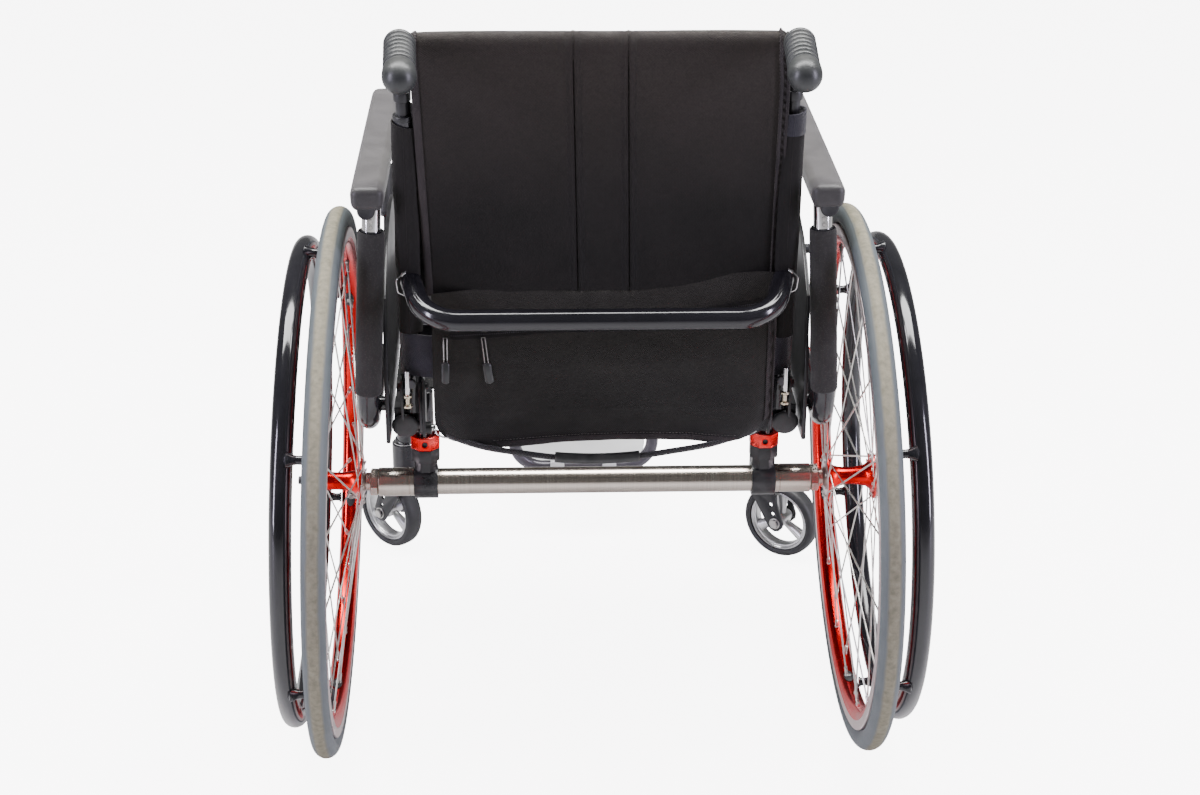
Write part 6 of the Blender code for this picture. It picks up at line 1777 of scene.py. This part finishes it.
# %% Pocket: the face of the pouch and the cloth that ties it between the canes
POCKET_LEFT = 0.1690
POCKET_RIGHT = -0.1830
POCKET_CORNER = 0.030
DENTS = ((0.122, 0.66, 0.014, 0.16, 0.0060), (0.078, 0.80, 0.018, 0.10, 0.0050),
         (0.030, 0.55, 0.030, 0.20, 0.0025))
POCKET_SIZE = (0.352, 0.168)
POCKET_BACK_SIZE = (0.352, 0.110)
POCKET_REACH = 0.168
DEPTH_SHARES = [0.0, 0.10, 0.26, 0.45, 0.75, 1.0]
DEPTHS = [0.0085, 0.0175, 0.0330, 0.0400, 0.0420, 0.0360]


def pocket_low(x):
    """Height of the pocket's lower edge, which hangs lower at its two ends."""
    return -0.0470 - 0.0085 * ease(0.02, 0.11, x) - 0.0040 * ease(0.08, 0.15, -x)


def pocket_point(across, share, lift=0.0):
    """A point on the pocket's face, share from 0 at its top to 1 at its lower edge."""
    middle = (POCKET_LEFT + POCKET_RIGHT) / 2.0
    half = (POCKET_LEFT - POCKET_RIGHT) / 2.0
    past = (share * POCKET_REACH - (POCKET_REACH - POCKET_CORNER)) / POCKET_CORNER
    past = min(1.0, max(0.0, past))
    width = half - POCKET_CORNER * (1.0 - math.sqrt(max(0.0, 1.0 - past * past)))
    x = middle + width * across
    top = panel_low(x) + 0.0050
    z = top + (pocket_low(x) - top) * share
    y = between(share, DEPTH_SHARES, DEPTHS)
    tuck = ease(0.80, 1.0, abs(across)) ** 2
    y -= (y - 0.0150) * 0.55 * tuck
    y += 0.0030 * noise.noise(Vector((x * 14.0, 1.0, z * 16.0))) * ease(0.0, 0.3, share)
    y += 0.0010 * noise.noise(Vector((x * 45.0, 5.0, z * 50.0)))
    for dent_x, dent_share, wide, tall, deep in DENTS:
        y -= deep * math.exp(-((x - dent_x) / wide) ** 2 - ((share - dent_share) / tall) ** 2)
    return BACK @ Vector((x, y + lift, z))


def pocket_face(u, w):
    return pocket_point(-u, share_of(w))


def pocket_back(u, w):
    """The cloth behind the pouch, which ties it between the canes."""
    return BACK @ Vector((-0.007 + 0.168 * u, -0.0095 + 0.0130 * (1.0 - u * u), 0.010 + 0.052 * w))


def hem(u, w):
    """The bound lower edge."""
    return pocket_point(-0.085 - 0.765 * u, 0.977 + 0.021 * w, 0.0010 + 0.0010 * bulge(w))


def ladder(u, w):
    """The puckered tape down the pocket's right side."""
    lips = 0.0010 + 0.0018 * ease(0.35, 0.80, abs(u)) - 0.0008 * ease(0.85, 1.0, abs(u))
    return pocket_point(-0.974 + 0.024 * u, 0.47 + 0.40 * w, lips + pucker(u, w, 9.0, 0.0008))


pocket = cloth_grid("pocket_face", (150, 76), POCKET_SIZE, pocket_face, 0.0014)
inner = cloth_grid("pocket_back", (60, 24), POCKET_BACK_SIZE, pocket_back, 0.0014)
lower_hem = cloth_grid("pocket_hem", (110, 6), (0.270, 0.0070), hem, 0.0008)
side_tape = cloth_grid("pocket_tape", (12, 90), (0.0090, 0.130), ladder, 0.0008)
hem_line = [pocket_point(0.68 - 1.5 * i / 60.0, 0.945, 0.0012) for i in range(61)]
hem_stitches = stitches("hem_stitches", hem_line, BACK_WAY)
fit(pocket, "back", "back_cloth", POCKET_TWILL, replaces=["back_pocket"])
for piece, material in ((inner, POCKET_TWILL), (lower_hem, TRIM_TAPE), (side_tape, TRIM_TAPE),
                        (hem_stitches, THREAD)):
    fit(piece, "back", "back_cloth", material)


# %% Zip with two pulls, each a wire loop in a rubber tab
def zip_point(across, lift, below=0.0):
    return pocket_point(across, 0.155 + 0.080 * ease(-1.0, 0.2, across) + below, lift)


def zip_band(u, w):
    return zip_point(-0.045 - 0.94 * u, 0.0008 + 0.0004 * w * w, 0.021 * w)


zip_tape = cloth_grid("zip_tape", (110, 4), (0.330, 0.0075), zip_band, 0.0007)
fit(zip_tape, "back", "back_cloth", SLEEVE_CLOTH)
zip_line = [zip_point(-0.985 + 1.88 * i / 120.0, 0.0012) for i in range(121)]
coil = stitches("zip_coil", zip_line, BACK_WAY, 0.0012, 0.0022, 0.0010)
fit(coil, "back", "back_cloth", BLACK_RUBBER)


def zip_pull(name, across, drift):
    """A pull that lies on the pocket: a wire loop, then a rubber tab, drifting sideways as it hangs."""
    def lying(share, lift, aside):
        return pocket_point(across + drift * (share - 0.27) / 0.15, share, lift) + Vector((aside, 0.0, 0.0))

    def skin(u, w):
        ends = bulge(max(0.0, (abs(w) - 0.80) / 0.20))
        return lying(0.465 + 0.065 * w, 0.0016 + 0.0016 * bulge(u), -0.0036 * u * ends)

    shares = [0.250 + 0.0125 * i for i in range(13)]
    outline = [lying(share, 0.0022, -0.0018) for share in shares]
    outline += [lying(share, 0.0022, 0.0018) for share in reversed(shares)]
    fit(tube("zip_loop_" + name, outline, 0.0006, 3, closed=True), "back", "chrome", STEEL)
    tab = cloth_grid("zip_tab_" + name, (10, 24), (0.0072, 0.0240), skin, 0.0022)
    fit(tab, "back", "rubber_black", GRIP_RUBBER)


zip_pull("outer", 0.923, 0.0)
zip_pull("inner", 0.700, -0.018)
print("pocket and zip ready")


# %% Rigidizer bar, bolted to both canes
BAR_RADIUS = 0.0112
BAR_CORNER_X = 0.173
BAR_REACH = 0.072
BAR_HEIGHT = 0.1130
BAR_END_HEIGHT = 0.1300
BAR_BENDS = [0.045, 0.045]


def bar_half(side):
    """End and corner of the bar on one side, in the back's own place."""
    end = Vector((side * (CANE_X - 0.0026), 0.0136, BAR_END_HEIGHT - 0.0024))
    return [end, Vector((side * BAR_CORNER_X, BAR_REACH, BAR_HEIGHT))]


bar_path = rounded_path(bar_half(-1.0) + bar_half(1.0)[::-1], BAR_BENDS, math.radians(3.0))
bar = tube("rigidizer", [BACK @ p for p in bar_path], BAR_RADIUS, 12)
fit(bar, "back", "frame_black", GLOSS_BLACK, replaces=["rigidizer_bar"])


def bar_fixing(name, side):
    seat = BACK @ Vector((side * (CANE_X + 0.0045), 0.0135, BAR_END_HEIGHT + 0.006))
    screw = turned("bar_screw_" + name, capped(0.0026, -0.003, 0.0016, 0.0006), axes(seat, BACK_WAY, X), 24)
    wire = [Vector((side * 0.1935, 0.0150, 0.1400)), Vector((side * 0.2035, 0.0200, 0.1330)),
            Vector((side * 0.2020, 0.0205, 0.1190)), Vector((side * 0.1920, 0.0190, 0.1130))]
    clip = tube("bar_clip_" + name, [BACK @ p for p in rounded_path(wire, [0.004, 0.005])], 0.0007, 4)
    fit(join("bar_fixing_" + name, screw, clip), "back", "chrome", CHROME)


both_sides(bar_fixing)


# %% [markdown]
# ## Seat sling
#
# The seat is a flat cloth lapped round both rails and pulled tight. It dips a little between them,
# and its front and rear edges are hemmed with two rows of stitches.

# %% The sling's surface, hems and stitches
SLING_SAG = 0.0150
SLING_FRONT_Y = -0.344
SLING_REAR_Y = -0.036
SLING_WALL = 0.0028
SLING_LAP = math.radians(50.0)
SLING_FLAT = 0.88
rail_up = RAIL_AXIS.cross(Vector((-1.0, 0.0, 0.0)))
rail_up *= math.copysign(1.0, rail_up.z)


def sling_point(u, share, lift=0.0):
    """A point on the seat: u across from -1 to 1, share from 0 at the front to 1 at the rear."""
    y = SLING_FRONT_Y + (SLING_REAR_Y - SLING_FRONT_Y) * share
    radius = FRAME_TUBE + 0.0003 + SLING_WALL / 2.0 + lift
    inner = math.pi / 2.0 + math.atan(2.0 * SLING_SAG / RAIL_X)
    edge_x = RAIL_X + radius * math.cos(inner)
    edge_h = radius * math.sin(inner)
    if abs(u) <= SLING_FLAT:
        x = edge_x * u / SLING_FLAT
        dip = 1.0 - (x / edge_x) ** 2
        folds = 0.0012 * noise.noise(Vector((x * 8.0, y * 14.0, 2.0))) * dip
        height = edge_h - SLING_SAG * dip + folds
    else:
        a = inner + (math.pi / 2.0 - SLING_LAP - inner) * (abs(u) - SLING_FLAT) / (1.0 - SLING_FLAT)
        x = math.copysign(RAIL_X + radius * math.cos(a), u)
        height = radius * math.sin(a)
    return at(x, y, rail_z(y)) + rail_up * height


def sling_shape(u, w):
    return sling_point(u, share_of(w))


sling_length = (SLING_REAR_Y - SLING_FRONT_Y) * math.sqrt(1.0 + RAIL_SLOPE ** 2)
sling_size = (0.440, sling_length)
sling = cloth_grid("seat_cloth", (150, 90), sling_size, sling_shape, SLING_WALL)
fit(sling, "frame", "sling_cloth", SLING_CLOTH, replaces=["seat_sling"])
rows = []
for share in (0.045, 0.955):
    line = [sling_point(0.86 - 1.72 * i / 120.0, share, SLING_WALL / 2.0) for i in range(121)]
    rows.append(stitches("row", line, rail_up, 0.0032, 0.0050))
seat_stitches = join("seat_stitches", *rows)
fit(seat_stitches, "frame", "sling_cloth", THREAD)
print("seat cloth", round(sling_length, 3), "m long")


# %% [markdown]
# ## Floor and light
#
# The chair stands on a plain pale floor that runs past the edge of the picture. Floor and world
# shine for the camera alone, and are dim for all that they light, so black tubes and cloth stay
# black. One long soft light hangs overhead and draws the bright line along the tubes, and two
# tall soft lights stand behind, left and right.

# %% Pale floor
FLOOR_GLOW = (0.12, 7.5)
FLOOR_MIRRORED = 0.16
SKY_GLOW = (0.14, 7.0)

floor = new(bpy.ops.mesh.primitive_plane_add, "floor", size=40.0)
paper, tree, shader = start_material("pale_floor")
spot = add(tree, "TexCoord").outputs["Object"]
marks = cloudy(tree, spot, 3.0, 0.1)
path = add(tree, "LightPath").outputs
seen = spread(tree, path["Is Camera Ray"], 0.0, 1.0, *FLOOR_GLOW)
glow = maths(tree, "ADD", seen, times(tree, path["Is Glossy Ray"], FLOOR_MIRRORED))
feed(tree, shader, {
    "Base Color": blend_colour(tree, marks, (0.480, 0.476, 0.480), (0.540, 0.535, 0.538)),
    "Roughness": 0.55, "Emission Color": (1.0, 0.985, 0.99, 1.0), "Emission Strength": glow})
floor.data.materials.append(paper)


# %% Soft lights and a pale world
def soft_light(name, place_at, aim, size, power, colour=(1.0, 1.0, 1.0)):
    lamp = new(bpy.ops.object.light_add, name, type="AREA", location=place_at)
    lamp.data.shape = "RECTANGLE"
    lamp.data.size, lamp.data.size_y = size
    lamp.data.energy = power
    lamp.data.color = colour
    lamp.rotation_euler = (Vector(aim) - Vector(place_at)).to_track_quat("-Z", "Y").to_euler()


soft_light("long_light", (0.0, -0.20, 2.60), (0.0, 0.20, 0.40), (3.4, 0.90), 190.0)
for name, spot in (("left_light", (3.0, 1.8, 1.3)), ("right_light", (-3.0, 1.6, 1.3))):
    soft_light(name, spot, (0.0, 0.0, 0.4), (0.40, 2.2), 90.0, (0.84, 0.80, 1.0))
world = bpy.data.worlds.new("pale_world")
bpy.context.scene.world = world
world.use_nodes = True
sky = world.node_tree.nodes["Background"]
sky.inputs["Color"].default_value = (1.0, 1.0, 1.0, 1.0)
air = world.node_tree
seen = add(air, "LightPath").outputs["Is Camera Ray"]
air.links.new(spread(air, seen, 0.0, 1.0, *SKY_GLOW), sky.inputs["Strength"])
